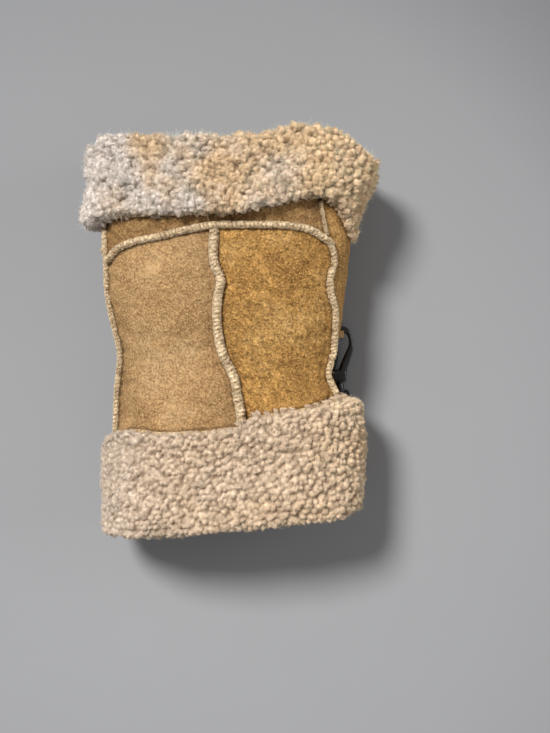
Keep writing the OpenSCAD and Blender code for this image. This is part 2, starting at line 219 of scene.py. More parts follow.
# Turns share the tube's girth out evenly, where angles crowd at the sides
_angles = np.linspace(-360, 720, 30001)
_girths = run_along(ring_point((90, 90, TUBE_DOWN, TUBE_UP), _angles, 0))
GIRTH = _girths[-1] / 3
_turns = _girths / GIRTH - 1


def turn_of(a):
    return np.interp(a, _angles, _turns)


def angle_of(turn):
    return np.interp(turn, _turns, _angles)


def centre_deg(y):
    return angle_at(centre_x(y), y)


def right_deg(y):
    return angle_at(right_x(y), y)


def y_by_angle(table, blur, reach):
    """Place along the tube, at an angle, of a line drawn across its plan."""
    y_at = smooth_line(table, blur)
    return lambda a: y_at(ring_point(reach, a, 0)[..., 0])


tube_reach = (left_reach(YOKE_PLANE), right_reach(YOKE_PLANE), TUBE_DOWN, TUBE_UP)
yoke_y = y_by_angle(YOKE_LINE, 3, tube_reach)
upper_rim_y = y_by_angle(UPPER_RIM, 3, tube_reach)
upper_end_y = y_by_angle(UPPER_END, 5, upper_cuff(150))
lower_rim_y = y_by_angle(LOWER_RIM, 2.5, lower_cuff(0))
lower_end_y = y_by_angle(LOWER_END, 5, lower_cuff(0))


def tube_top_y(a):
    return upper_end_y(a) - MOUTH_ROLL


def tube_bottom_y(a):
    return lower_end_y(a) + MOUTH_ROLL


# ---- Meshes ----

def show(obj):
    bpy.context.scene.collection.objects.link(obj)
    return obj


def add_mesh(name, points, *faces, colours=None, fix_normals=False):
    """New object from arrays: points in millimetres, and faces as arrays of point numbers."""
    corners = np.concatenate([f.ravel() for f in faces])
    sizes = np.concatenate([np.full(len(f), f.shape[1]) for f in faces])
    starts = np.concatenate([[0], np.cumsum(sizes)[:-1]])
    mesh = bpy.data.meshes.new(name)
    mesh.vertices.add(len(points))
    mesh.vertices.foreach_set("co", (np.asarray(points) * MM).astype(np.float32).ravel())
    mesh.loops.add(len(corners))
    mesh.loops.foreach_set("vertex_index", corners.astype(np.int32))
    mesh.polygons.add(len(sizes))
    mesh.polygons.foreach_set("loop_start", starts.astype(np.int32))
    mesh.update(calc_edges=True)
    if fix_normals:
        work = bmesh.new()
        work.from_mesh(mesh)
        bmesh.ops.recalc_face_normals(work, faces=work.faces)
        work.to_mesh(mesh)
        work.free()
    mesh.polygons.foreach_set("use_smooth", np.full(len(sizes), True))
    if colours is not None:
        layer = mesh.color_attributes.new("tint", "FLOAT_COLOR", "POINT")
        tint = np.concatenate([colours.reshape(-1, 3), np.ones((len(points), 1))], axis=1)
        layer.data.foreach_set("color", tint.astype(np.float32).ravel())
    return show(bpy.data.objects.new(name, mesh))


def grid_quads(rows, cols, ring_rows=False, ring_cols=False):
    i = np.arange(rows if ring_rows else rows - 1)[:, None]
    j = np.arange(cols if ring_cols else cols - 1)[None, :]
    a, b = i * cols + j, i * cols + (j + 1) % cols
    c, d = (i + 1) % rows * cols + (j + 1) % cols, (i + 1) % rows * cols + j
    return np.stack([a, b, c, d], axis=-1).reshape(-1, 4)


def add_loft(name, sections, ring=False, colours=None):
    """Closed solid through closed sections of shape (rows, cols, 3), as a ring or with its ends closed."""
    rows, cols = sections.shape[:2]
    quads = [grid_quads(rows, cols, ring_rows=ring, ring_cols=True)]
    if not ring:
        j = np.arange(cols // 2 - 1)
        first = np.stack([j, cols - 1 - j, cols - 2 - j, j + 1], axis=-1)
        quads += [first, first[:, ::-1] + (rows - 1) * cols]
    return add_mesh(name, sections.reshape(-1, 3), np.concatenate(quads), colours=colours, fix_normals=True)


def add_tubes(name, paths, radii, sides=3, colours=None):
    """Closed tapered tubes along paths of shape (count, stations, 3), made as one object."""
    count, stations = paths.shape[:2]
    tangent = unit(np.gradient(paths, axis=1))
    across = unit(np.cross(tangent[:, 0], unit(np.roll(tangent[:, 0], 1, axis=-1) + (0.3, 0.1, -0.2))))
    rings = np.empty((count, stations, sides, 3))
    for k in range(stations):
        t = tangent[:, k]
        across = unit(across - (across * t).sum(-1, keepdims=True) * t)
        up = np.cross(t, across)
        for side, turn in enumerate(circle(sides)):
            spoke = math.cos(turn) * across + math.sin(turn) * up
            rings[:, k, side] = paths[:, k] + radii[:, k, None] * spoke
    ring = np.arange(sides)
    fan = np.stack([np.zeros(sides - 2, int), ring[1:-1], ring[2:]], axis=-1)
    caps = np.concatenate([fan[:, ::-1], fan + (stations - 1) * sides])
    block = np.arange(count)[:, None, None] * stations * sides
    quads = (grid_quads(stations, sides, ring_cols=True) + block).reshape(-1, 4)
    if colours is not None:
        colours = np.repeat(colours.reshape(-1, 3), sides, axis=0)
    return add_mesh(name, rings.reshape(-1, 3), quads, (caps + block).reshape(-1, 3), colours=colours)


def swept(path, side, up, flat, tall):
    """Sections along a path, each flat wide to its side and tall high."""
    return path[:, None] + side[:, None] * flat[..., None] + up * tall[..., None]


# ---- Colours and materials ----

def linear(colour):
    """Linear colour of an eight-bit display colour."""
    c = np.asarray(colour, float) / 255
    return np.where(c <= 0.04045, c / 12.92, ((c + 0.055) / 1.055) ** 2.4)


def rgba(colour):
    return (*linear(colour), 1.0)


def grey(shade):
    return np.repeat(shade.reshape(-1, 1), 3, axis=1)


class Nodes:
    """Short way to write a material's node tree."""

    def __init__(self, name):
        self.material = bpy.data.materials.new(name)
        self.material.use_nodes = True
        self.tree = self.material.node_tree
        self.surface = self.tree.nodes["Principled BSDF"]
        self.place = self.add("ShaderNodeTexCoord").outputs["Object"]

    def add(self, kind, **inputs):
        node = self.tree.nodes.new(kind)
        for key, value in inputs.items():
            self.set(node, key, value)
        return node

    def set(self, node, key, value):
        socket = node.inputs[key.replace("_", " ")] if isinstance(key, str) else node.inputs[key]
        if isinstance(value, bpy.types.NodeSocket):
            self.tree.links.new(value, socket)
        else:
            socket.default_value = value

    def noise(self, size, detail=3.0, rough=0.55, stretch=None):
        """Noise with features of about size millimetres."""
        place = self.place
        if stretch:
            mapping = self.add("ShaderNodeMapping", Vector=place)
            mapping.vector_type = "TEXTURE"
            mapping.inputs["Scale"].default_value = stretch[0]
            mapping.inputs["Rotation"].default_value = stretch[1]
            place = mapping.outputs["Vector"]
        scale = 1 / (size * MM)
        node = self.add("ShaderNodeTexNoise", Vector=place, Scale=scale, Detail=detail, Roughness=rough)
        return node.outputs["Fac"]

    def ramp(self, value, *stops):
        node = self.add("ShaderNodeValToRGB", Fac=value)
        elements = node.color_ramp.elements
        while len(elements) < len(stops):
            elements.new(0.5)
        for element, (at, colour) in zip(elements, stops):
            element.position = at
            element.color = rgba(colour) if len(np.shape(colour)) else (colour, colour, colour, 1)
        return node.outputs["Color"]

    def blend(self, share, first, second, kind="MIX"):
        node = self.add("ShaderNodeMix")
        node.data_type = "RGBA"
        node.blend_type = kind
        node.clamp_factor = True
        for slot, value in ((0, share), (6, first), (7, second)):
            self.set(node, slot, rgba(value) if isinstance(value, (tuple, list)) else value)
        return node.outputs[2]

    def calc(self, kind, *values, node="ShaderNodeMath"):
        node = self.add(node)
        node.operation = kind
        for slot, value in enumerate(values):
            self.set(node, slot, value)
        return node.outputs[0]

    def warped(self, size, amount):
        """Place pushed about by noise, so that cells laid on it aren't regular."""
        noise = self.add("ShaderNodeTexNoise", Vector=self.place, Scale=1 / (size * MM), Detail=2.0)
        push = (noise.outputs["Color"], (amount * MM,) * 3, self.place)
        return self.calc("MULTIPLY_ADD", *push, node="ShaderNodeVectorMath")

    def tint(self):
        """Colour that the mesh carries at its points."""
        node = self.add("ShaderNodeAttribute")
        node.attribute_name = "tint"
        return node.outputs["Color"]

    def bump(self, height, distance, strength=1.0, under=None):
        node = self.add("ShaderNodeBump", Height=height, Distance=distance * MM, Strength=strength)
        if under is not None:
            self.set(node, "Normal", under)
        return node.outputs["Normal"]

    def finish(self, **inputs):
        for key, value in inputs.items():
            self.set(self.surface, key, value)
        return self.material


def suede_material(name, base, dark, pale, pebble=0.4, wrinkle=0.5):
    """Brushed skin side: cloudy colour, mottled nap, pebbled creases and slanting wrinkles with painted shade
    in their hollows, and a few scuffs.
    """
    n = Nodes(name)
    clouds = n.noise(34, 4, 0.6)
    nap = n.noise(1.5, 5, 0.78)
    grain = n.noise(4.2, 4, 0.68)
    deep = [c * 0.66 for c in dark]
    light = [min(255, c * 1.12) for c in pale]
    colour = n.ramp(clouds, (0.34, dark), (0.50, base), (0.68, pale))
    colour = n.blend(n.ramp(grain, (0.40, 0.40), (0.56, 0.0)), colour, dark)
    colour = n.blend(n.ramp(nap, (0.36, 0.80), (0.50, 0.0)), colour, deep)
    colour = n.blend(n.ramp(nap, (0.51, 0.0), (0.64, 0.85)), colour, light)
    creases = n.add("ShaderNodeTexVoronoi", Vector=n.warped(3.2, 4.2), Scale=1 / (4.4 * MM))
    creases.feature = "DISTANCE_TO_EDGE"
    crease = n.ramp(creases.outputs["Distance"], (0.0, 1.0), (0.22, 0.0))
    patch = n.ramp(n.noise(26, 3, 0.6), (0.38, 0.0), (0.66, pebble))
    crease = n.calc("MULTIPLY", crease, patch)
    # Painted shade: the colour darkens to the deep tone along the creases.
    colour = n.blend(crease, colour, deep)
    scuffs = n.noise(12, 5, 0.65, ((2.0, 0.8, 1.0), (0, 0, 0.6)))
    colour = n.blend(n.ramp(scuffs, (0.60, 0.0), (0.70, 0.35)), colour, light)
    wrinkles = n.noise(5.6, 4, 0.6, ((1.7, 0.75, 1.0), (0, 0, -0.7)))
    # Painted shade: the colour darkens in the wrinkles' valleys.
    fold_shade = n.ramp(wrinkles, (0.36, 1.0), (0.47, 0.0))
    fold_shade = n.calc("MULTIPLY", fold_shade, n.ramp(clouds, (0.35, 0.0), (0.6, 0.30 * wrinkle)))
    colour = n.blend(fold_shade, colour, deep)
    colour = n.blend(1.0, colour, n.tint(), "MULTIPLY")
    normal = n.bump(n.ramp(wrinkles, (0.36, 0.0), (0.58, 1.0)), 2.2 * wrinkle + 0.1, 0.8)
    normal = n.bump(n.calc("MULTIPLY_ADD", crease, -0.8, grain), 0.9, 0.8, normal)
    normal = n.bump(nap, 0.45, 0.9, normal)
    return n.finish(
        Base_Color=colour, Normal=normal, Roughness=n.ramp(nap, (0.3, 0.98), (0.7, 0.82)),
        Specular_IOR_Level=0.12, Sheen_Weight=0.2, Sheen_Roughness=0.5, Sheen_Tint=rgba(pale),
    )


def wool_material(name):
    """Wool fibre: the colour of each strand, broken up along its length."""
    n = Nodes(name)
    fleck = n.noise(1.3, 3, 0.7)
    colour = n.blend(n.ramp(fleck, (0.36, 0.35), (0.52, 0.0)), n.tint(), (172, 140, 106))
    normal = n.bump(n.noise(0.8, 4, 0.7), 0.55, 0.9)
    return n.finish(
        Base_Color=colour, Normal=normal, Roughness=n.ramp(fleck, (0.3, 0.95), (0.7, 0.8)),
        Specular_IOR_Level=0.2, Sheen_Weight=0.5, Sheen_Roughness=0.4, Sheen_Tint=rgba((246, 236, 220)),
    )


def thread_material():
    n = Nodes("sewing_thread")
    wave = n.add("ShaderNodeTexWave", Vector=n.place, Scale=1 / (0.9 * MM), Distortion=1.5)
    twist = wave.outputs["Fac"]
    colour = n.ramp(twist, (0.2, (138, 104, 62)), (0.8, (176, 142, 96)))
    return n.finish(
        Base_Color=colour, Normal=n.bump(twist, 0.15), Roughness=n.ramp(twist, (0.2, 0.85), (0.8, 0.7))
    )


def plastic_material():
    """Glossy moulded plastic with fine scratches and rubbed, greyer high spots."""
    n = Nodes("moulded_plastic")
    flow = n.noise(5, 3, 0.5)
    scratches = n.noise(2.2, 4, 0.7, ((0.2, 2.6, 1.0), (0, 0, 0.5)))
    colour = n.ramp(flow, (0.3, (24, 23, 22)), (0.75, (38, 36, 34)))
    colour = n.blend(n.ramp(scratches, (0.60, 0.0), (0.70, 0.5)), colour, (86, 84, 80))
    rough = n.ramp(n.calc("MULTIPLY_ADD", flow, 0.5, scratches), (0.6, 0.16), (1.0, 0.42))
    return n.finish(
        Base_Color=colour, Roughness=rough, Normal=n.bump(n.noise(1.0, 2, 0.5), 0.05, 0.4),
        Specular_IOR_Level=0.6, Coat_Weight=0.25,
    )


def steel_material():
    n = Nodes("ring_wire")
    brush = n.noise(1.2, 4, 0.6, ((0.3, 3.0, 3.0), (0.4, 0, 0)))
    colour = n.ramp(brush, (0.3, (120, 118, 114)), (0.7, (196, 194, 190)))
    rough = n.ramp(brush, (0.3, 0.42), (0.7, 0.22))
    return n.finish(Base_Color=colour, Roughness=rough, Metallic=1.0, Normal=n.bump(brush, 0.05, 0.4))


WOOL = wool_material("wool_fibre")
SUEDE_LEFT = suede_material("suede_left", (182, 144, 98), (154, 118, 76), (201, 165, 119), 0.14, 0.35)
SUEDE_RIGHT = suede_material("suede_right", (199, 149, 82), (161, 116, 61), (219, 174, 109), 0.45, 1.3)
SUEDE_YOKE = suede_material("suede_yoke", (162, 124, 78), (130, 96, 57), (184, 147, 100), 0.2)
SUEDE_SIDE = suede_material("suede_side", (190, 146, 88), (156, 115, 64), (210, 168, 110), 0.25)
SUEDE_BACK = suede_material("suede_back", (182, 141, 90), (150, 113, 68), (202, 163, 112), 0.3, 0.6)
SKIN_EDGE = suede_material("skin_edge", (206, 176, 134), (176, 142, 98), (226, 200, 162), 0.1)
THREAD = thread_material()
PLASTIC = plastic_material()
STEEL = steel_material()


def dress(obj, material, body, slot_name, *nodes):
    """Gives a piece its material and its body, and hides the CAD nodes that it stands for; slot_name is not
    used.
    """
    obj.data.materials.clear()
    obj.data.materials.append(material)
    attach(obj, body)
    if nodes:
        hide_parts(*nodes)
    return obj


# ---- Seams ----

class Seam:
    """A seam's line on the tube: points, outward and sideways directions, and lengths along it."""

    def __init__(self, name, width, angles, ys):
        run = run_along(tube_point(angles, ys))
        self.name = name
        self.width = width
        self.length = run[-1]
        at = np.arange(0, self.length, 0.3)
        a, y = np.interp(at, run, angles), np.interp(at, run, ys)
        self.run = at
        self.points = tube_point(a, y)
        self.out = outward(a, y)
        self.side = unit(np.cross(self.out, np.gradient(self.points, axis=0)))

    def at(self, run):
        columns = [np.interp(run, self.run, c) for m in (self.points, self.out, self.side) for c in m.T]
        values = np.stack(columns, axis=-1)
        return values[..., :3], values[..., 3:6], values[..., 6:9]


def seam_across(name, width, a0, a1, y_of):
    a = angle_of(np.linspace(turn_of(a0), turn_of(a1), 300))
    return Seam(name, width, a, y_of(a) * np.ones_like(a))


def seam_along(name, width, y0, y1, a_of):
    y = np.linspace(y0, y1, 300)
    return Seam(name, width, a_of(y) * np.ones_like(y), y)


TAB_LOW, TAB_HIGH = [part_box("hang_tab")[k][1] / MM for k in (0, 1)]
SEAMS = [
    seam_across("front_yoke", 5.2, 167, 37, yoke_y),
    seam_along("front_centre", 6.6, lower_rim_y(90) + 1, yoke_y(94) - 2, centre_deg),
    seam_along("right_front", 4.4, -50, 72, right_deg),
    seam_along("right_front_upper", 2.6, 73, 100, right_deg),
    seam_along("right_back_low", 5.2, -52, TAB_LOW - 0.6, lambda y: BACK_SEAM),
    seam_along("right_back", 5.2, TAB_HIGH + 0.6, 72, lambda y: BACK_SEAM),
    seam_along("left", 4.0, -80, 82, lambda y: LEFT_SEAM),
    seam_across("back_yoke", 5.8, 173, 330, lambda a: BACK_YOKE_Y),
    seam_along("back_centre", 7.0, lower_rim_y(BACK_CENTRE), BACK_YOKE_Y - 2, lambda y: BACK_CENTRE),
]

seam_runs = np.concatenate([s.run for s in SEAMS])
seam_halves = np.concatenate([np.full(len(s.run), s.width / 2) for s in SEAMS])
seam_tree = tree_of(np.concatenate([s.points for s in SEAMS]))


def nearest_seam(points):
    """Distance to the nearest seam, length along it and its half width, for points of shape (..., 3)."""
    found = [seam_tree.find(p) for p in points.reshape(-1, 3)]
    distance = np.array([f[2] for f in found]).reshape(points.shape[:-1])
    nearest = np.array([f[1] for f in found]).reshape(points.shape[:-1])
    return distance, seam_runs[nearest], seam_halves[nearest]


# ---- Suede ----

CLOTH_SCALE = 10
CLOTH_LOW, CLOTH_HIGH = -100, 120


def settled_suede(across=230, along=115, frames=22):
    """Height of the suede above the plain tube, on a grid, once it settles as cloth held at its seams."""
    a = angle_of(np.arange(across) / across)[:, None] + np.zeros(along)
    y = np.linspace(CLOTH_LOW, CLOTH_HIGH, along) + np.zeros((across, 1))
    grid, out = tube_point(a, y), outward(a, y)
    held = (nearest_seam(grid)[0] < 2.0) | (y < CLOTH_LOW + 4) | (y > CLOTH_HIGH - 4)
    start = grid + out * (np.where(held, 0, 0.4 * fractal(grid, 11, 301, 2)))[..., None]
    quads = grid_quads(across, along, ring_rows=True)
    sheet = add_mesh("settling_suede", start.reshape(-1, 3) * CLOTH_SCALE, quads)
    group = sheet.vertex_groups.new(name="held")
    group.add([int(k) for k in np.flatnonzero(held.ravel())], 1.0, "REPLACE")
    cloth = sheet.modifiers.new("cloth", "CLOTH")
    rules = cloth.settings
    rules.vertex_group_mass = "held"
    rules.quality = 5
    rules.mass = 0.3
    rules.tension_stiffness = rules.compression_stiffness = 40
    rules.shear_stiffness = 20
    rules.bending_stiffness = 0.6
    rules.shrink_min = -0.012
    rules.use_pressure = True
    rules.uniform_pressure_force = 0.6
    rules.effector_weights.gravity = 0
    cloth.collision_settings.use_collision = False
    scene = bpy.context.scene
    for number in range(1, frames + 1):
        scene.frame_set(number)
    mesh = sheet.evaluated_get(bpy.context.evaluated_depsgraph_get()).to_mesh()
    settled = np.empty(len(mesh.vertices) * 3, np.float32)
    mesh.vertices.foreach_get("co", settled)
    scene.frame_set(1)
    bpy.data.objects.remove(sheet)
    settled = settled.reshape(grid.shape) / (MM * CLOTH_SCALE)
    return np.clip(((settled - grid) * out).sum(-1, keepdims=True), -2.5, 3.5)


settled = settled_suede()


def settled_height(points):
    """Height that the settled cloth gives at points of the tube."""
    across, along = settled.shape[:2]
    z = points[..., 2] - AXIS_HEIGHT
    reach = np.where(points[..., 0] < 0, left_reach(points[..., 1]), right_reach(points[..., 1]))
    c = signed_pow(points[..., 0] / reach, SQUARENESS / 2)
    s = signed_pow(z / np.where(z < 0, TUBE_DOWN, TUBE_UP), SQUARENESS / 2)
    i = turn_of(np.degrees(np.arctan2(s, c))) % 1 * across
    j = np.clip((points[..., 1] - CLOTH_LOW) / (CLOTH_HIGH - CLOTH_LOW), 0, 0.9999) * (along - 1)
    return bilinear(settled, i, j)[..., 0]


def suede_relief(points):
    """Height of the suede above the plain tube, and its shade: painted shade beside each welt and in a dent at
    the left, with random tone.
    """
    distance, run, half = nearest_seam(points)
    ridge = 1.3 * bell(distance, 2.4)
    valley = -1.0 * bell(distance - 5.5, 3.2)
    wander = 1.8 * lattice_noise(points, 12, 3)
    pucker = 0.5 * np.sin(2 * math.pi * run / 8.5 + wander) * np.exp(-distance / 7.5)
    swell = 0.8 * fractal(points, 42, 11, 2) + settled_height(points)
    skew = points @ np.array([[0.62, 0.35, 0.0], [0.62, -0.35, 0.0], [0.0, 0.0, 0.5]])
    folds = 0.35 * np.maximum(0, fractal(skew, 13, 23) - 0.1)
    beside = distance - half - 0.1
    bites = 0.85 + 0.15 * np.sin(2 * math.pi * run / STITCH)
    # Painted shade: a dark line just beside each welt, dotted at the stitches, and a broad darker band in the
    # valley beside it.
    painted_welt_shade = 0.62 * bites * bell(np.maximum(beside, 0), 0.95) + 0.12 * bell(beside, 5)
    # Painted shade of a shallow dent at the left of the front, a little below the middle.
    painted_dent_shade = bell(points[..., 0] + 82, 20) * bell(points[..., 1] + 22, 34)
    shade = 1 - painted_welt_shade - 0.14 * painted_dent_shade + 0.07 * fractal(points, 24, 31, 3)
    return ridge + valley + pucker + swell - folds, shade


def panel_span(from_deg, to_deg):
    """Middle angle of a panel between two seams, and its width round the tube."""
    first, last = turn_of(from_deg(0.0)), turn_of(to_deg(0.0))
    return float(angle_of((first + last) / 2)), abs(last - first) * GIRTH


def panel_grid(from_deg, to_deg, low, high, u, v, gap):
    """Angles and places along the tube of shares u and v between two seams and two ends."""
    a = np.full(u.shape, panel_span(from_deg, to_deg)[0])
    for _ in range(8):
        y = mix(low(a), high(a), v)
        a = angle_of(mix(turn_of(from_deg(y) + gap), turn_of(to_deg(y) - gap), u))
    return a, y


def add_skin(name, from_deg, to_deg, low, high, material, slot_name, step=1.3):
    """Thick sheet of suede between two seams and two ends, with rounded edges."""
    middle, width = panel_span(from_deg, to_deg)
    height = abs(high(middle) - low(middle))
    cols, rows = int(width / step), int(height / step)
    u = np.linspace(0, 1, cols)
    u = u - 0.3 * np.sin(2 * math.pi * u) / (2 * math.pi)
    u, v = np.meshgrid(u, np.linspace(0, 1, rows))
    a, y = panel_grid(from_deg, to_deg, low, high, u, v, 0.55)
    base = tube_point(a, y)
    relief, shade = suede_relief(base)
    # Painted shadow: a dark line on the suede along each cuff's rim, where the cuff's edge overhangs it.
    for gap_to_rim in (y - lower_rim_y(a), upper_rim_y(a) - y):
        shade = shade - 0.45 * bell(gap_to_rim, 1.5)
    edge = np.minimum(np.minimum(u, 1 - u) * width, np.minimum(v, 1 - v) * height)
    edge = clip01(edge / (SKIN_T / 2))
    bulge = SKIN_T / 2 * np.sqrt(1 - (1 - edge) ** 2)
    out = outward(a, y)
    outer = base + out * (relief - SKIN_T / 2 + bulge)[..., None]
    inner = base + out * (relief - SKIN_T / 2 - bulge - 0.05)[..., None]
    sections = np.concatenate([outer, inner[:, ::-1]], axis=1)
    tint = grey(np.concatenate([shade, shade[:, ::-1]], axis=1))
    piece = add_loft(f"{name}_suede", sections, colours=tint)
    return dress(piece, material, "muff", slot_name, name)


def fixed(value):
    return lambda at: value + 0 * at


YOKE_GAP = 0.7
left_deg, back_deg, gusset_deg = fixed(LEFT_SEAM), fixed(BACK_SEAM), fixed(BACK_SEAM - 360)
back_centre_deg = fixed(BACK_CENTRE)
below_back_yoke = fixed(BACK_YOKE_Y - YOKE_GAP)


def below_yoke(a):
    return yoke_y(a) - YOKE_GAP


for skin in (
    ("front_left_panel", centre_deg, left_deg, tube_bottom_y, below_yoke, SUEDE_LEFT, "pale_suede"),
    ("front_right_panel", right_deg, centre_deg, tube_bottom_y, below_yoke, SUEDE_RIGHT, "suede"),
    ("front_yoke", right_deg, left_deg, lambda a: yoke_y(a) + YOKE_GAP, tube_top_y, SUEDE_YOKE, "suede"),
    ("right_gusset", gusset_deg, right_deg, tube_bottom_y, tube_top_y, SUEDE_SIDE, "suede"),
    ("back_left_panel", left_deg, back_centre_deg, tube_bottom_y, below_back_yoke, SUEDE_BACK, "pale_suede"),
    ("back_right_panel", back_centre_deg, back_deg, tube_bottom_y, below_back_yoke, SUEDE_BACK, "suede"),
    ("back_yoke", left_deg, back_deg, fixed(BACK_YOKE_Y + YOKE_GAP), tube_top_y, SUEDE_YOKE, "suede"),
):
    add_skin(*skin)


# ---- Wool ----

CREAM = linear((255, 231, 203))
# ROOT and GREY_ROOT: colours of painted shade at the wool's roots and in the gaps between locks.
ROOT = linear((146, 120, 96))
GREY_WHITE = linear((255, 243, 233))
GREY_ROOT = linear((168, 156, 144))
GOLD = linear((255, 222, 179))


def wool_colours(points, tip, tone):
    """Colour of wool at points: tip runs from 0 at the root, where the colour holds painted shade, to 1, tone
    varies from lock to lock.
    """
    x, y = points[..., 0], points[..., 1]
    rightness = clip01((x + 110) / 220)
    upper = clip01(y / 60)
    patch = fractal(points, 26, 61, 2)
    white = clip01(1.1 - (3 + 3.5 * upper) * rightness)
    white = white + np.clip(1.6 * patch, 0, 0.9) * upper * clip01(1.9 - 2.2 * rightness)
    gold = clip01(1.5 * rightness - 0.6) * (0.6 + 0.4 * upper)
    gold = gold + np.clip(-1.8 * patch, 0, 0.9) * (0.3 + 0.7 * upper)
    white = clip01(white) * (0.35 + 0.65 * upper)
    gold = clip01(gold) * (1 - white)
    body = CREAM + (GREY_WHITE - CREAM) * white[..., None] + (GOLD - CREAM) * gold[..., None]
    # The rightness term lightens the wool towards the right: painted light.
    body = body * (0.90 + 0.08 * upper + 0.17 * rightness + 0.16 * np.clip(tone, -2.5, 1))[..., None]
    # Towards tip 0 the colour falls to the darker root colours: painted shade.
    return clip01(mix(mix(ROOT, GREY_ROOT, white[..., None]), body, clip01(tip)[..., None] ** 0.6))


class Coat:
    """A surface that carries wool: a grid of points that closes on itself, and its outward directions."""

    def __init__(self, grid, flip=False):
        self.grid = grid
        ahead = np.roll(grid, -1, axis=0) - np.roll(grid, 1, axis=0)
        along = np.gradient(grid, axis=1)
        out = unit(np.cross(along, ahead))
        self.out = -out if flip else out
        self.along = unit(along)
        self.rows, self.cols = grid.shape[:2]
        self.girths = np.linalg.norm(np.diff(np.vstack([grid, grid[:1]]), axis=0), axis=2).sum(axis=0)
        steps = np.linalg.norm(np.diff(grid, axis=1), axis=2).mean(axis=0)
        self.runs = np.concatenate([[0], np.cumsum(steps)])

    def sample(self, field, u, run):
        """Value of a grid field at turns u and lengths run along the coat."""
        i = u * self.rows
        j = np.clip(np.interp(run, self.runs, np.arange(self.cols)), 0, self.cols - 1.001)
        return bilinear(field, i, j)

    def seeds(self, rng, spacing, first, last):
        """Places on the coat for locks of wool, staggered and shaken."""
        places = []
        rows = max(2, int((last - first) / (spacing * 0.87)))
        for row in range(rows):
            run = first + (row + 0.5) * (last - first) / rows
            count = int(np.interp(run, self.runs, self.girths) / spacing)
            u = (np.arange(count) + 0.5 * (row % 2)) / count
            u = (u + rng.uniform(-0.36, 0.36, count) / count) % 1
            places.append(np.stack([u, run + rng.uniform(-0.36, 0.36, count) * spacing], axis=-1))
        places = np.concatenate(places)
        places[:, 1] = np.clip(places[:, 1], first, last)
        return places[np.argsort(places[:, 0], kind="stable")]


def on_floor(paths):
    """Wool that would sink into the ground lies flat on it."""
    paths[..., 2] = np.maximum(paths[..., 2], GROUND_CLEARANCE)
    return paths


class Locks:
    """The locks of wool on a coat: where they stand, how big they are and how they curl."""

    def __init__(self, coat, rng, first, last, spacing, look):
        self.u, self.run = coat.seeds(rng, spacing, first, last).T
        self.centre = coat.sample(coat.grid, self.u, self.run)
        self.out = unit(coat.sample(coat.out, self.u, self.run))
        self.along = unit(coat.sample(coat.along, self.u, self.run))
        self.size, self.height, self.twist, self.lean = look(rng, self)
        self.tone = lattice_noise(self.centre, 16, 5) * 0.6 + rng.normal(0, 0.35, len(self.u))

    def relief(self, points):
        """Height of the locks' domes at points, and each point's place from 0 in a gap to 1 on a crown."""
        crowns = self.centre + self.lean * (self.height ** 1.5)[:, None] * 0.5
        tree = tree_of(crowns)
        flat = points.reshape(-1, 3)
        flat = flat + 1.1 * np.stack([lattice_noise(flat, 3.6, 200 + k) for k in range(3)], axis=-1)
        rise, crown = np.zeros(len(flat)), np.zeros(len(flat))
        for number, point in enumerate(flat):
            for _, index, distance in tree.find_n(point, 3):
                full = max(0.0, 1 - (distance / (1.22 * self.size[index])) ** 2) ** 0.75
                rise[number] = max(rise[number], self.height[index] * full)
                crown[number] = max(crown[number], full)
        return rise.reshape(points.shape[:-1]), crown.reshape(points.shape[:-1])


def curl_paths(rng, locks, pick, depth, strands, stations):
    """Strands that spiral over the dome of each lock from its edge to its crown."""
    out, lean = locks.out[pick], locks.lean[pick]
    count = len(out)
    t1 = unit(np.cross(out, np.array([0.31, 0.17, 0.93])))
    t2 = np.cross(out, t1)
    tau = np.linspace(0.06, 1, stations)
    start = np.arange(strands) * 2 * math.pi / strands + rng.uniform(0, 2 * math.pi, (count, 1))
    start = start + rng.uniform(-0.5, 0.5, (count, strands))
    spin = locks.twist[pick][:, None] * rng.uniform(0.6, 1.4, (count, strands))
    radius = locks.size[pick][:, None] * rng.uniform(0.80, 1.15, (count, strands))
    rise = locks.height[pick][:, None] * rng.uniform(0.90, 1.30, (count, strands))
    turn = start[..., None] + spin[..., None] * tau
    climb = math.pi / 2 * tau ** 0.85
    rho = radius[..., None] * (np.cos(climb) * 0.94 + 0.06)
    up = rise[..., None] * np.sin(climb)
    shift = up[..., None] ** 1.5 * lean[:, None, None, :]
    spread = np.cos(turn)[..., None] * t1[:, None, None, :] + np.sin(turn)[..., None] * t2[:, None, None, :]
    root = (locks.centre[pick] - out * depth)[:, None, None, :]
    paths = root + rho[..., None] * spread + up[..., None] * out[:, None, None, :] + shift
    return on_floor(paths + rng.normal(0, 0.20, paths.shape))


def add_curls(name, locks, rng, depth, pieces=1, strands=14, stations=5, thick=0.27):
    """Strands of all locks, in several pieces side by side."""
    for number, pick in enumerate(np.array_split(np.arange(len(locks.u)), pieces)):
        count = len(pick)
        paths = curl_paths(rng, locks, pick, depth, strands, stations)
        # Colour darkens towards each strand's root: painted shade.
        tau = np.linspace(0.22, 1, stations) * np.ones((count, strands, 1))
        tone = locks.tone[pick][:, None, None] + rng.normal(0, 0.7, (count, strands, 1)) + 0 * tau
        colours = wool_colours(paths, tau, tone)
        taper = 1 - 0.6 * np.linspace(0, 1, stations) ** 2
        radii = thick * taper * rng.uniform(0.7, 1.25, (count, strands, 1))
        shape = (count * strands, stations)
        label = f"{name}_{number + 1}" if pieces > 1 else name
        tubes = add_tubes(label, paths.reshape(*shape, 3), radii.reshape(shape), colours=colours)
        dress(tubes, WOOL, "muff", "cuff_wool")


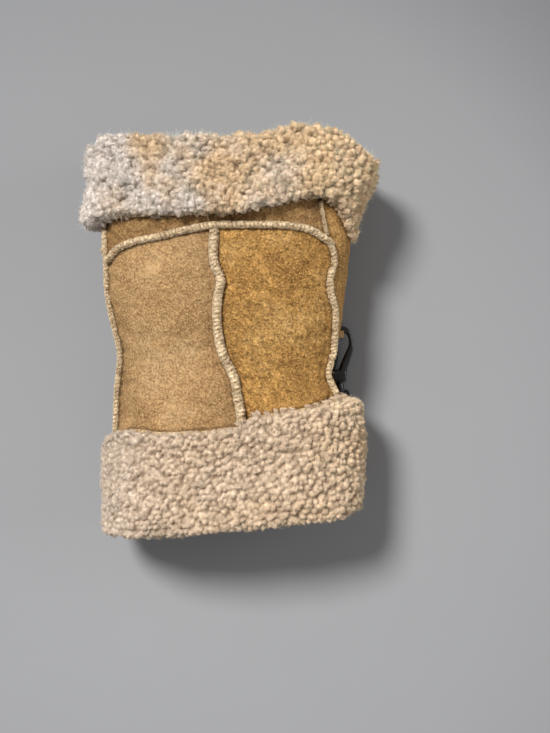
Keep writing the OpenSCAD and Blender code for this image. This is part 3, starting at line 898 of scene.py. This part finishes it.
def add_stray_fibres(name, coat, rng, first, last, count, length=7.0, lift=0.6):
    """Single thin fibres that stand off the wool."""
    stations = 5
    u, run = rng.uniform(0, 1, count), rng.uniform(first, last, count)
    centre = coat.sample(coat.grid, u, run)
    out = unit(coat.sample(coat.out, u, run))
    heading = unit(rng.normal(0, 1, (count, 3)))
    heading = unit(heading - (heading * out).sum(-1, keepdims=True) * out * (1 - lift))
    bend = unit(rng.normal(0, 1, (count, 3)))
    tau = np.linspace(0, 1, stations)[None, :, None]
    reach = (length * rng.uniform(0.5, 1.3, count))[:, None, None]
    paths = centre[:, None] - out[:, None] * 1.5 + reach * (
        tau * heading[:, None] + 0.55 * tau ** 2 * bend[:, None] + 0.35 * tau * (1 - tau) * out[:, None]
    )
    paths = on_floor(paths + rng.normal(0, 0.2, paths.shape))
    colours = wool_colours(paths, np.full((count, stations), 1.0), 0.5 + 0 * paths[..., 0])
    radii = 0.12 * (1 - 0.6 * tau[..., 0]) * np.ones((count, stations))
    return dress(add_tubes(name, paths, radii, colours=colours), WOOL, "muff", "cuff_wool")


def add_rim_tufts(name, coat, rng, turns, count, length, strands=16):
    """Small locks that lie from a cuff's rim out over the suede."""
    stations = 6
    u = rng.uniform(*turns, count)
    root = coat.sample(coat.grid, u, rng.uniform(0.6, 2.4, count))
    out = unit(coat.sample(coat.out, u, 6 + 0 * u))
    back = -unit(coat.sample(coat.along, u, 6 + 0 * u))
    side = np.cross(out, back)
    heading = unit(back + side * rng.normal(0, 0.45, (count, 1)) + out * rng.uniform(-0.1, 0.45, (count, 1)))
    reach = length * rng.uniform(0.5, 1.2, (count, 1, 1, 1)) * rng.uniform(0.7, 1.1, (count, strands, 1, 1))
    tau = np.linspace(0, 1, stations)[:, None]
    spread = rng.normal(0, 1, (count, strands, 1, 3)) * (1.3 * (1 - tau) + 0.35)
    curl = np.sin(2.4 * tau) * out[:, None, None, :] * 1.3
    paths = root[:, None, None, :] + heading[:, None, None, :] * reach * tau + spread * 0.7 + curl
    # Colour darkens towards each tuft's root: painted shade.
    colours = wool_colours(paths, 0.35 + 0.65 * tau[..., 0] + 0 * paths[..., 0], 0.3 + 0 * paths[..., 0])
    radii = 0.24 * (1 - 0.6 * tau[..., 0]) * np.ones((count * strands, 1))
    tufts = add_tubes(name, paths.reshape(-1, stations, 3), radii, colours=colours)
    return dress(tufts, WOOL, "muff", "cuff_wool")


def resample_rows(key, count, blur):
    """Rows of key points (rows, keys, 3) turned into evenly spaced, rounded rows."""
    rows = []
    for row in key:
        run = run_along(row)
        at = np.linspace(0, run[-1], count)
        rows.append(np.stack([np.interp(at, run, c) for c in row.T], axis=-1))
    rows = np.array(rows)
    for _ in range(blur):
        inner = (rows[:, :-2] + rows[:, 1:-1] * 2 + rows[:, 2:]) / 4
        rows = np.concatenate([rows[:, :1], inner, rows[:, -1:]], axis=1)
    return rows


CUFF_PROFILE = [(0, 0.55), (0.03, 0.85), (0.08, 0.97), (0.3, 1), (0.7, 1), (0.88, 0.95), (0.97, 0.78), (1, 0.5)]


def cuff_coat(reach, rim, end, seed, swelling, across=600, along=130):
    """The cuff's wool surface, from its rim over the outside and round into the mouth."""
    a = angle_of(np.arange(across) / across)
    under, inside = SKIN_T + 0.8, -SKIN_T - WOOL_T
    y0, y1 = rim(a), end(a)
    s = np.sign(y1 - y0)
    keys = [tube_point(a, y0, under)]
    for share, fullness in CUFF_PROFILE:
        y = mix(y0, y1, share)
        keys.append(mix(tube_point(a, y, under), ring_point(reach(y), a, y), fullness))
    keys += [tube_point(a, y1, inside / 3), tube_point(a, y1 - 1.5 * s, inside * 0.85)]
    keys.append(tube_point(a, y1 - (MOUTH_ROLL - 2) * s, inside))
    grid = resample_rows(np.stack(keys, axis=1), along, 6)
    coat = Coat(grid, flip=bool(s[0] < 0))
    swell = swelling * fractal(grid, 30, seed, 2) + 1.0 * lattice_noise(grid, 13, seed + 9)
    fade = clip01(np.minimum(coat.runs, coat.runs[-1] - coat.runs) / 12)
    grid = grid + coat.out * (swell * fade)[..., None] - coat.out * 1.0
    grid[..., 2] = np.maximum(grid[..., 2], 1.0)
    return Coat(grid, flip=bool(s[0] < 0))


def add_core(name, coat, locks, depth, *nodes):
    """Dense under-wool of a cuff: a closed body whose surface carries the domes of the locks."""
    relief, crown = locks.relief(coat.grid)
    relief = relief + 0.45 * lattice_noise(coat.grid, 2.2, 211)
    outer = coat.grid + coat.out * (relief - depth)[..., None]
    outer[..., 2] = np.maximum(outer[..., 2], 1.2)
    rim, stop = coat.grid[:, 0, 1], coat.grid[:, -1, 1]
    a = angle_of(np.arange(coat.rows) / coat.rows)
    back = [tube_point(a, mix(stop, rim, t), SKIN_T + 0.8) for t in np.linspace(0.0, 1, 14)]
    sections = np.concatenate([outer, np.stack(back, axis=1)], axis=1)
    # Painted shade: the colour darkens from each dome's crown into the gaps between locks; the hidden back
    # takes the darkest root colour.
    shade = np.concatenate([0.02 + 0.75 * crown ** 1.5, np.zeros((coat.rows, 14))], axis=1)
    tone = lattice_noise(sections, 16, 5) * 0.5 + 1.5 * lattice_noise(sections, 1.8, 212)
    colours = wool_colours(sections, shade, tone).reshape(-1, 3)
    piece = add_loft(name, sections, ring=True, colours=colours)
    return dress(piece, WOOL, "muff", "cuff_wool", *nodes)


def nubby(rng, locks):
    """Tight round curls."""
    count = len(locks.u)
    size = rng.uniform(1.7, 3.1, count)
    height = 0.95 * size + rng.uniform(-0.2, 1.0, count)
    twist = rng.choice([-1, 1], count) * rng.uniform(1.2, 3.4, count)
    lean = 0.09 * unit(rng.normal(0, 1, (count, 3))) * rng.uniform(0.2, 1, count)[:, None]
    return size, height, twist, lean


def streaky(rng, locks):
    """Longer locks that lie over together, patch by patch, mostly towards the cuff's outer edge."""
    count = len(locks.u)
    size = rng.uniform(2.0, 3.8, count)
    height = 1.0 * size + rng.uniform(-0.2, 1.9, count)
    twist = rng.choice([-1, 1], count) * rng.uniform(0.2, 1.8, count)
    patches = np.stack([lattice_noise(locks.centre, 18, 220 + k) for k in range(3)], axis=-1)
    flow = unit(0.7 * locks.along + 1.6 * patches + 0.35 * rng.normal(0, 1, (count, 3)))
    flow = flow - (flow * locks.out).sum(-1, keepdims=True) * locks.out
    lean = 0.28 * flow * rng.uniform(0.4, 1, count)[:, None]
    return size, height, twist, lean


lower_coat = cuff_coat(lower_cuff, lower_rim_y, lower_end_y, 41, 1.8)
upper_coat = cuff_coat(upper_cuff, upper_rim_y, upper_end_y, 57, 3.6)
for label, coat, look, spacing, seed, depth in (
    ("lower_cuff", lower_coat, nubby, 4.9, 101, 3.0), ("upper_cuff", upper_coat, streaky, 5.4, 102, 3.8)
):
    rng = np.random.default_rng(seed)
    last = coat.runs[-1]
    locks = Locks(coat, rng, 1.5, last, spacing, look)
    add_core(f"{label}_fleece_body", coat, locks, depth, f"{label}_fleece")
    if look is streaky:
        add_curls(f"{label}_curls", locks, rng, depth, 8, strands=18, thick=0.26)
        add_stray_fibres(f"{label}_stray_fibres", coat, rng, 1, last - 4, 20000, 4.6)
    else:
        add_curls(f"{label}_curls", locks, rng, depth, 8, strands=13)
        add_stray_fibres(f"{label}_stray_fibres", coat, rng, 1, last - 4, 16000, 3.2)
add_rim_tufts("lower_rim_tufts", lower_coat, np.random.default_rng(106), (-0.03, 0.235), 56, 4.6)
add_rim_tufts("upper_rim_tufts", upper_coat, np.random.default_rng(107), (0.0, 0.5), 40, 2.6)


def add_cuff_skin(label, rim, end, material):
    """Turned-back skin below the cuff's wool; its cut edge shows at the rim."""
    a = angle_of(np.arange(420) / 420)
    y0, y1 = rim(a), end(a)
    s = np.sign(y1 - y0)
    wave = 0.6 * lattice_noise(tube_point(a, y0), 9, 71)
    start, stop = y0 + s * (0.5 + wave), y1 - s * MOUTH_ROLL
    lift = 1.3 + 0.5 * lattice_noise(tube_point(a, y0), 12, 73)
    outline = []
    for turn in np.radians(np.linspace(270, 90, 9)):
        outline.append(tube_point(a, start + s * 0.9 * (1 + math.cos(turn)), lift + 0.9 * (1 + math.sin(turn))))
    outline += [tube_point(a, mix(start + s * 2, stop, t), 2.6) for t in np.linspace(0.1, 1, 10)]
    outline += [tube_point(a, mix(start + s * 2, stop, t), 0.9) for t in np.linspace(1, 0.1, 10)]
    sections = np.stack(outline, axis=1)
    piece = add_loft(f"{label}_turned_skin", sections, ring=True, colours=np.ones((sections.size // 3, 3)))
    return dress(piece, material, "muff", "skin_edge", f"{label}_skin")


add_cuff_skin("upper_cuff", upper_rim_y, upper_end_y, SKIN_EDGE)
add_cuff_skin("lower_cuff", lower_rim_y, lower_end_y, SKIN_EDGE)


# ---- Wool inside the tube ----

def lining_coat(across=420, along=150):
    """Inside face of the wool lining, from the lower mouth to the upper one."""
    a = angle_of(np.arange(across) / across)[:, None]
    v = np.linspace(0, 1, along)[None, :]
    y = mix(tube_bottom_y(a), tube_top_y(a), v)
    grid = tube_point(a * np.ones_like(y), y, -SKIN_T - WOOL_T)
    coat = Coat(grid, flip=True)
    sag = 1.8 * fractal(grid, 40, 83, 2)
    return Coat(grid + coat.out * sag[..., None], flip=True)


inner_coat = lining_coat()
LININGS = [
    ("front_left_lining", centre_deg, left_deg), ("front_right_lining", right_deg, centre_deg),
    ("gusset_lining", gusset_deg, right_deg), ("back_left_lining", left_deg, back_centre_deg),
    ("back_right_lining", back_centre_deg, back_deg),
]
lining_rng = np.random.default_rng(103)
LINING_SPACING = 6.4
lining_locks = Locks(inner_coat, lining_rng, 2, inner_coat.runs[-1] - 2, LINING_SPACING, nubby)


def add_lining(name, from_deg, to_deg):
    """Under-wool behind one skin, lumpy on its inner face."""
    width = panel_span(from_deg, to_deg)[1]
    u, v = np.meshgrid(np.linspace(0, 1, int(width / 2)), np.linspace(0, 1, 130))
    a, y = panel_grid(from_deg, to_deg, tube_bottom_y, tube_top_y, u, v, 0.4)
    top = tube_point(a, y, -SKIN_T - WOOL_T)
    relief, crown = lining_locks.relief(top)
    out = outward(a, y)
    inner = top - out * (relief - 3.6)[..., None]
    outer = tube_point(a, y, -SKIN_T - 1.4)
    sections = np.concatenate([outer, inner[:, ::-1]], axis=1)
    # Painted shade: the inner face darkens from each dome's crown into the gaps; the hidden outer face takes
    # the root colour.
    shade = np.concatenate([0 * crown, 0.05 + 0.75 * crown[:, ::-1] ** 1.5], axis=1)
    colours = wool_colours(sections, shade, lattice_noise(sections, 16, 5) * 0.5).reshape(-1, 3)
    piece = add_loft(f"{name}_wool", sections, colours=colours)
    return dress(piece, WOOL, "muff", "lining_wool", name)


for lining in LININGS:
    add_lining(*lining)
MOUTH_DEPTH = 75
for label, first, last in (
    ("lower", 0, MOUTH_DEPTH), ("upper", inner_coat.runs[-1] - MOUTH_DEPTH, inner_coat.runs[-1])
):
    mouth_locks = Locks(inner_coat, lining_rng, first, last, LINING_SPACING, nubby)
    add_curls(f"{label}_mouth_curls", mouth_locks, lining_rng, 3.4, strands=10)


# ---- Welts and threads ----

SLANT = 0.7
WELT_RISE = 0.56
WELT_FOOT = 0.5
WELT_CREAM = linear((246, 222, 182))
WELT_ROOT = linear((128, 94, 54))


# Welt colour runs from WELT_ROOT, the colour of painted shade and of the darkest mottling, at 0 to cream at 1.
def welt_colours(shade, tone):
    wool = mix(WELT_ROOT, WELT_CREAM, clip01(shade)[..., None])
    return clip01(wool * (1 + 0.2 * tone)[..., None])


def stitch_run(seam, run):
    """Length along a seam with its stitches unevenly spaced, as hand-fed sewing leaves them."""
    return run + 0.9 * lattice_noise(np.stack([run, 0 * run, 0 * run + 40 * seam.width], axis=-1), 6, 88)


def add_welt(seam, rng, *nodes):
    """Puffed bead of wool along a seam, nipped in by each stitch."""
    height = WELT_RISE * seam.width
    run = np.arange(0, seam.length, 0.33)
    turns = np.radians(np.linspace(-112, 112, 14))
    points, out, side = seam.at(run)
    here = stitch_run(seam, run)[:, None] + SLANT * turns[None, :] / (math.pi / 2)
    puff = np.abs(np.sin(math.pi * here / STITCH)) ** 0.7
    weave = np.sin(math.pi * (here / STITCH - 1.1 * np.abs(turns[None, :])) * 2)
    ends = clip01(np.minimum(run, seam.length - run) / 3) ** 0.5
    spot = points[:, None] + side[:, None] * turns[None, :, None] * 2
    rough = 1 + 0.18 * lattice_noise(points, 5, 91)[:, None] + 0.24 * lattice_noise(spot, 1.6, 92)
    full = (0.9 + 0.1 * puff) * ends[:, None] * rough
    foot = points + out * WELT_FOOT
    sections = foot[:, None] + side[:, None] * (np.sin(turns) * full * seam.width / 2)[..., None]
    sections = sections + out[:, None] * (np.cos(turns) * full * (height + 0.8))[..., None]
    # Painted light and shade: lighter on top of each puff, darker down its sides and where the stitches nip it
    # in; the weave and the noise are the wool's own mottling.
    shade = 0.42 + 0.32 * puff * np.cos(turns) + 0.16 * weave + 0.62 * lattice_noise(spot, 1.2, 94)
    # The thin seam's welt is darker overall.
    shade = shade - 0.35 * (seam.width < 3)
    colours = welt_colours(shade, lattice_noise(sections, 7, 93))
    piece = add_loft(f"{seam.name}_welt", sections, colours=colours.reshape(-1, 3))
    dress(piece, WOOL, "muff", "welt_wool", *nodes)

    count = int(seam.length / STITCH * 26)
    at = rng.uniform(1, seam.length - 1, count)
    turn = rng.uniform(-1.6, 1.6, count)
    foot, out, side = seam.at(at)
    stand = unit(side * np.sin(turn)[:, None] + out * np.cos(turn)[:, None])
    root = foot + out * WELT_FOOT + side * (np.sin(turn) * seam.width * 0.46)[:, None]
    root = root + out * (np.cos(turn) * (height + 0.6))[:, None]
    heading = unit(side * rng.normal(0, 0.8, (count, 1)) + np.cross(side, out) * rng.normal(0, 1.0, (count, 1)))
    tau = np.linspace(0, 1, 5)[None, :, None]
    length = rng.uniform(1.0, 2.8, count)[:, None, None]
    paths = root[:, None] + length * (tau - 0.5) * heading[:, None]
    paths = paths + stand[:, None] * (1.0 * np.sin(math.pi * tau) - 0.45) + rng.normal(0, 0.12, (count, 5, 3))
    shade = np.clip(0.85 + rng.normal(0, 0.3, (count, 1)), 0.2, 1) * np.ones((count, 5))
    radii = 0.19 * (1 - 0.5 * np.abs(2 * tau[..., 0] - 1)) * np.ones((count, 5))
    fibres = add_tubes(f"{seam.name}_welt_fibres", paths, radii, colours=welt_colours(shade, 0.3 * shade))
    dress(fibres, WOOL, "muff", "welt_wool")


def add_thread(seam, *nodes):
    """Whip stitches: each loop crosses the welt in a groove and dives into the suede on both sides."""
    run = np.arange(0, seam.length, 0.1)
    stitched = stitch_run(seam, run)
    at = np.interp(np.arange(STITCH, stitched[-1] - 1, STITCH), stitched, run)
    turns = np.radians(np.linspace(-122, 122, 13))
    here = at[:, None] - SLANT * turns[None, :] / (math.pi / 2)
    points, out, side = seam.at(here)
    wide, tall = seam.width / 2 * 0.80 + 0.2, (WELT_RISE * seam.width + 0.8) * 0.80 + 0.2
    flare = 1 + 0.25 * np.abs(turns / turns[-1]) ** 6
    paths = points + out * WELT_FOOT + side * (np.sin(turns) * wide * flare)[None, :, None]
    paths = paths + out * (np.cos(turns) * tall)[None, :, None]
    piece = add_tubes(f"{seam.name}_thread", paths, np.full(paths.shape[:2], 0.34), sides=6)
    dress(piece, THREAD, "muff", "thread", *nodes)


welt_rng = np.random.default_rng(105)
for seam in SEAMS:
    stands_for = seam.name not in ("right_back_low", "right_front_upper")
    add_welt(seam, welt_rng, *([f"{seam.name}_welt"] if stands_for else []))
    add_thread(seam, *([f"{seam.name}_thread"] if stands_for else []))


# ---- Leather tab, ring and snap hook ----

def moulded(name, parts, voxel, rounds, cuts=()):
    """One smooth body from overlapping closed parts, less the cuts."""
    bpy.ops.object.select_all(action="DESELECT")
    for part in parts:
        part.select_set(True)
    bpy.context.view_layer.objects.active = parts[0]
    bpy.ops.object.join()
    body = parts[0]

    def remesh(label):
        step = body.modifiers.new(label, "REMESH")
        step.mode = "VOXEL"
        step.voxel_size = voxel * MM
        step.use_smooth_shade = True

    remesh("fuse")
    for cut in cuts:
        slot_cut = body.modifiers.new("cut", "BOOLEAN")
        slot_cut.object = cut
        slot_cut.operation = "DIFFERENCE"
    remesh("even")
    ease = body.modifiers.new("ease", "SMOOTH")
    ease.factor = 0.5
    ease.iterations = rounds
    depsgraph = bpy.context.evaluated_depsgraph_get()
    mesh = bpy.data.meshes.new_from_object(body.evaluated_get(depsgraph))
    mesh.polygons.foreach_set("use_smooth", np.full(len(mesh.polygons), True))
    for old in (body, *cuts):
        bpy.data.objects.remove(old)
    return show(bpy.data.objects.new(name, mesh))


def rounded_box(name, low, high, place, softness=0.22):
    """Closed box with soft corners, from low to high in the frame that place turns into the shared one."""
    steps = np.linspace(-math.pi / 2, math.pi / 2, 13)
    up, round_ = np.meshgrid(steps[1:-1], circle(28), indexing="ij")
    shape = np.stack([
        signed_pow(np.cos(up), softness) * signed_pow(np.cos(round_), softness),
        signed_pow(np.cos(up), softness) * signed_pow(np.sin(round_), softness),
        signed_pow(np.sin(up), softness),
    ], axis=-1)
    low, high = np.array(low, float), np.array(high, float)
    return add_loft(name, place((low + high) / 2 + shape * (high - low) / 2))


def smooth_path(points, count=60, rounds=10):
    return resample_rows(np.array(points, float)[None], count, rounds)[0]


UP = np.array([0, 0, 1.0])
HOOK_TILT = math.radians(6)
CROOK_CENTRE = np.array([87.6, -3.1, 9.4])
PIN_AT = np.array([-5.6, -28.6])
GATE_TIP = np.array([-3.0, -5.5])


def hook_place(p):
    p = np.asarray(p, float)
    c, s = math.cos(HOOK_TILT), math.sin(HOOK_TILT)
    turned = np.stack([p[..., 0], p[..., 1] * c - p[..., 2] * s, p[..., 1] * s + p[..., 2] * c], axis=-1)
    return CROOK_CENTRE + turned


def rod(name, points, radii, sides=20, place=hook_place):
    points = np.array(points, float)
    radii = np.interp(np.linspace(0, 1, len(points)), np.linspace(0, 1, len(radii)), radii)
    return add_tubes(name, place(points)[None], radii[None], sides=sides)


HOOK_LINE = [
    (-6.2, -2.8, 1.8), (-6.7, 0.4, 2.0), (-5.9, 3.5, 2.3), (-3.5, 5.9, 2.7), (0.0, 6.8, 2.8), (3.8, 6.1, 2.7),
    (6.5, 3.9, 2.1), (7.8, 0.6, 1.6), (8.5, -2.8, 1.7), (8.7, -6.4, 1.9), (7.8, -10.6, 2.5), (6.0, -15.0, 2.9),
    (4.2, -20.0, 3.1), (2.5, -24.6, 3.3), (1.3, -30.0, 3.9), (0.6, -36.6, 4.3),
]


def add_hook_body():
    """Crook and spine of flat, rounded section that widens into the base."""
    path = smooth_path(HOOK_LINE, 110, 14)
    line_xy, half = path[:, :2], path[:, 2]
    ahead = unit(np.gradient(line_xy, axis=0))
    side = np.stack([-ahead[:, 1], ahead[:, 0]], axis=-1)
    t = np.linspace(0, 1, len(path))
    tall = 2.1 + 1.0 * np.clip((t - 0.45) / 0.45, 0, 1)
    close = np.sqrt(1 - np.clip(1 - np.minimum(t, 1 - t) / 0.02, 0, 1) ** 2 * 0.9)
    around = circle(28)
    flat = signed_pow(np.cos(around), 0.8)[None, :] * (half * close)[:, None]
    rise = signed_pow(np.sin(around), 0.8)[None, :] * (tall * close)[:, None]
    sections = np.concatenate([line_xy[:, None] + side[:, None] * flat[..., None], rise[..., None]], axis=-1)
    shaft = add_loft("shaft", hook_place(sections))
    base = rounded_box("base", (-7.6, -37, -3.2), (5, -26.5, 3.2), hook_place, 0.4)
    neck = rod("neck", [(-0.5, -35, 0), (-0.5, -37.1, 0)], [3.3, 3.0])
    slot = rounded_box("slot", (-9, -31, -1.7), (-2.7, -5, 1.7), hook_place, 0.1)
    body = moulded("hook_body_moulded", [shaft, base, neck], 0.28, 4, [slot])
    return dress(body, PLASTIC, "hook", "black_plastic", "hook_body")


def add_hook_gate():
    lift = -0.6
    start, tip = (*PIN_AT, lift), (*GATE_TIP, 0)
    middle = (PIN_AT[0] + 2.0, PIN_AT[1] + 11, lift * 0.6)
    bar = rod("bar", smooth_path([start, middle, tip], 30, 4), [1.1, 1.4, 1.6, 1.5, 1.5])
    cap = rod("cap", [np.add(tip, (-0.2, -1.2, 0)), np.add(tip, (0.1, 0.6, 0))], [1.55, 1.3])
    knuckle = rod("knuckle", [(*PIN_AT, lift + rise) for rise in np.linspace(-0.95, 0.95, 5)], [2.1], sides=32)
    grips = [rod("grip", [(-6.1 + 0.1 * k, -20 + 1.7 * k, -0.4), (-5.3 + 0.1 * k, -20 + 1.7 * k, -0.4)], [0.9])
             for k in range(4)]
    gate = moulded("hook_gate_moulded", [bar, cap, knuckle, *grips], 0.2, 3)
    return dress(gate, PLASTIC, "gate", "black_plastic", "hook_gate")


def add_swivel_eye():
    low, high, half, rim = -53.9, -43.9, 7.1, 1.15
    turns = circle(120)
    frame_x = half * signed_pow(np.cos(turns), 0.32)
    frame_y = (low + high) / 2 + (high - low) / 2 * signed_pow(np.sin(turns), 0.32)
    centre = np.stack([frame_x - 0.5, frame_y, 0 * turns], axis=-1)
    ahead = unit(np.roll(centre, -1, axis=0) - np.roll(centre, 1, axis=0))
    side = np.stack([ahead[:, 1], -ahead[:, 0], 0 * turns], axis=-1)
    around = circle(16)
    flat, tall = rim * signed_pow(np.cos(around), 0.6), 1.85 * signed_pow(np.sin(around), 0.6)
    loop = add_loft("loop", hook_place(swept(centre, side, UP, flat, tall)), ring=True)
    boss = rod("boss", [(-0.5, -44.5, 0), (-0.5, -41.5, 0), (-0.5, -37.4, 0)], [3.3, 3.5, 3.3])
    stem = rod("stem", [(-0.5, -38, 0), (-0.5, -34.6, 0)], [1.7])
    eye = moulded("swivel_eye_moulded", [loop, boss, stem], 0.28, 4)
    return dress(eye, PLASTIC, "swivel", "black_plastic", "swivel_eye")


TAB_ROOT = np.array([78.6, -0.8, 25.2])
TAB_SLOPE = math.radians(-44.7)
TAB_LENGTH = 13
RING_SLIDE = 2.5
RING_WIRE = 0.95
RING_SLOPE = math.radians(80)
BAR_CENTRE = TAB_ROOT + (TAB_LENGTH * math.cos(TAB_SLOPE), RING_SLIDE, TAB_LENGTH * math.sin(TAB_SLOPE))


def tab_place(p):
    """From the tab's own frame, along the slope, across it and off it, to the shared frame."""
    p = np.asarray(p, float)
    c, s = math.cos(TAB_SLOPE), math.sin(TAB_SLOPE)
    turned = [p[..., 0] * c - p[..., 2] * s, p[..., 1], p[..., 0] * s + p[..., 2] * c]
    return TAB_ROOT + np.stack(turned, axis=-1)


def ring_place(p):
    """From the ring's own frame, its bar along the first axis, to the shared frame at rest."""
    p = np.asarray(p, float)
    turned = [p[..., 1] * math.cos(RING_SLOPE), -p[..., 0], -p[..., 1] * math.sin(RING_SLOPE)]
    return BAR_CENTRE + np.stack(turned, axis=-1)


def add_ring():
    arc = np.radians(np.linspace(0, 180, 31))
    outline = [(-2, 0, 0), (2, 0, 0), (6.6, 0, 0), (7, 0.5, 0), (7, 3, 0)]
    outline += [(7 * math.cos(t), 3 + 7 * math.sin(t), 0) for t in arc[1:-1]]
    outline += [(-7, 3, 0), (-7, 0.5, 0), (-6.6, 0, 0), (-2, 0, 0)]
    path = resample_rows(np.array(outline)[None], 145, 2)[0][:-1]
    ahead = unit(np.roll(path, -1, axis=0) - np.roll(path, 1, axis=0))
    side = np.stack([ahead[:, 1], -ahead[:, 0], 0 * ahead[:, 0]], axis=-1)
    around = circle(20)
    sections = swept(path, side, UP, RING_WIRE * np.cos(around), RING_WIRE * np.sin(around))
    wire = add_loft("d_ring_wire", ring_place(sections), ring=True)
    return dress(wire, STEEL, "ring", "ring_steel", "d_ring")


def add_tab():
    """Strip of suede folded round the ring's bar, its two ends sewn together into the side seam."""
    thick, loop_r, half = 1.35, 1.75, 2.9
    arc = np.radians(np.linspace(128, -128, 25))
    upper = [(-1.5, 0.72), (1, 0.72), (4, 0.72), (7, 0.75), (9.6, 0.9)]
    fold_shade = [(TAB_LENGTH + loop_r * math.cos(t), loop_r * math.sin(t)) for t in arc]
    path = np.array(upper + fold_shade + [(u, -w) for u, w in upper[::-1]])
    path = resample_rows(np.stack([path[:, 0], 0 * path[:, 0], path[:, 1]], axis=-1)[None], 110, 3)[0]
    ahead = unit(np.gradient(path, axis=0))
    off = np.stack([-ahead[:, 2], 0 * ahead[:, 0], ahead[:, 0]], axis=-1)
    around = circle(40)
    across = half * signed_pow(np.cos(around), 0.35)
    height = thick / 2 * signed_pow(np.sin(around), 0.5)
    places = tab_place(swept(path, off, np.array([0, 1.0, 0]), height, across))
    places = places + 0.12 * fractal(places, 4, 77, 2)[..., None] * np.array([0.5, 0.3, 0.8])
    shade = 1 - 0.25 * np.abs(across[None, :] / half) ** 8 * np.ones((len(path), 1))
    tab = add_loft("hang_tab_leather", places, colours=grey(shade))
    tab.data.materials.append(SUEDE_LEFT)
    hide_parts("hang_tab")
    stitches = []
    for y in np.arange(-1.7, 1.8, 1.15):
        turn = np.linspace(0, 2 * math.pi, 18)
        loop = np.stack([9.2 + 0 * turn, y + 0.45 * np.cos(turn), 1.72 * np.sin(turn)], axis=-1)
        stitches.append(tab_place(loop))
    stitches = np.array(stitches)
    thread = add_tubes("hang_tab_thread", stitches, np.full(stitches.shape[:2], 0.3), sides=6)
    dress(thread, THREAD, "tab", "thread")
    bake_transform(tab)


add_hook_body()
add_hook_gate()
add_swivel_eye()
add_ring()
add_tab()


def repaint(node, material):
    """Gives a CAD node that stays in view its material."""
    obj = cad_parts[node]
    obj.data.materials.clear()
    obj.data.materials.append(material)


repaint("gate_pin", STEEL)
repaint("gate_spring", STEEL)


# ---- Floor, light and camera ----

FLOOR_REACH = 30000
CAMERA_PLACE = (34.2, -26.9, 1160)
FOCAL_LENGTH = 69.3
SENSOR_WIDTH = 36
FILL_DISTANCE = 2.2
FILL_SIZE = 1.4
ROOM_COLOUR = (0.95, 0.97, 1.0, 1)
ROOM_LIGHT = 0.27

def add_floor():
    """Plain pale floor, a little darker away from the middle as a painted pool of light."""
    corners = FLOOR_REACH * np.array([(-1, -1, 0), (1, -1, 0), (1, 1, 0), (-1, 1, 0)], float)
    floor = add_mesh("floor", corners, np.array([[0, 1, 2, 3]]))
    n = Nodes("plain_floor")
    move = n.add("ShaderNodeMapping", Vector=n.place)
    move.inputs["Location"].default_value = (0.10, 0.12, 0)
    away = n.add("ShaderNodeVectorMath", Vector=move.outputs["Vector"])
    away.operation = "LENGTH"
    # Painted pool of light: the colour darkens with distance from a point near the middle.
    pool = n.ramp(
        away.outputs["Value"], (0.12, (154, 154, 155)), (0.33, (147, 147, 148)), (0.42, (141, 141, 142)),
        (0.58, (108, 108, 110)),
    )
    cloud = n.noise(60, 2, 0.5)
    colour = n.blend(n.ramp(cloud, (0.3, 0.0), (0.7, 0.06)), pool, (140, 140, 142))
    floor.data.materials.append(n.finish(Base_Color=colour, Roughness=0.95, Specular_IOR_Level=0.1))


def aim(obj, direction):
    obj.rotation_mode = "QUATERNION"
    obj.rotation_quaternion = Vector(direction).to_track_quat("Z", "Y")
    show(obj)


def add_sun(direction, strength, spread_deg):
    """Broad soft key light from the upper left."""
    light = bpy.data.lights.new("key", "SUN")
    light.energy = strength
    light.angle = math.radians(spread_deg)
    aim(bpy.data.objects.new("key", light), direction)


def add_fill(name, direction, power, target=(0, 0, 40)):
    """Weak round light, in metres from its target, that opens the shadows."""
    light = bpy.data.lights.new(name, "AREA")
    light.shape = "DISK"
    light.size = FILL_SIZE
    light.energy = power
    obj = bpy.data.objects.new(name, light)
    obj.location = Vector(target) * MM + Vector(direction).normalized() * FILL_DISTANCE
    aim(obj, direction)


def add_camera():
    """Camera straight above the muff, with the picture's long side along the tube."""
    camera = bpy.data.cameras.new("camera")
    camera.sensor_width = SENSOR_WIDTH
    camera.lens = FOCAL_LENGTH
    obj = show(bpy.data.objects.new("camera", camera))
    obj.location = Vector(CAMERA_PLACE) * MM
    bpy.context.scene.camera = obj


add_floor()
add_sun((-0.40, 0.46, 0.79), 3.8, 16)
add_fill("front_fill", (0.25, -1.0, 0.30), 5)
add_fill("side_fill", (1.0, 0.15, 0.40), 13)
world = bpy.data.worlds.new("soft_room")
world.use_nodes = True
room = world.node_tree.nodes["Background"].inputs
room["Color"].default_value = ROOM_COLOUR
room["Strength"].default_value = ROOM_LIGHT
bpy.context.scene.world = world
bpy.context.scene.view_settings.view_transform = "Standard"
add_camera()
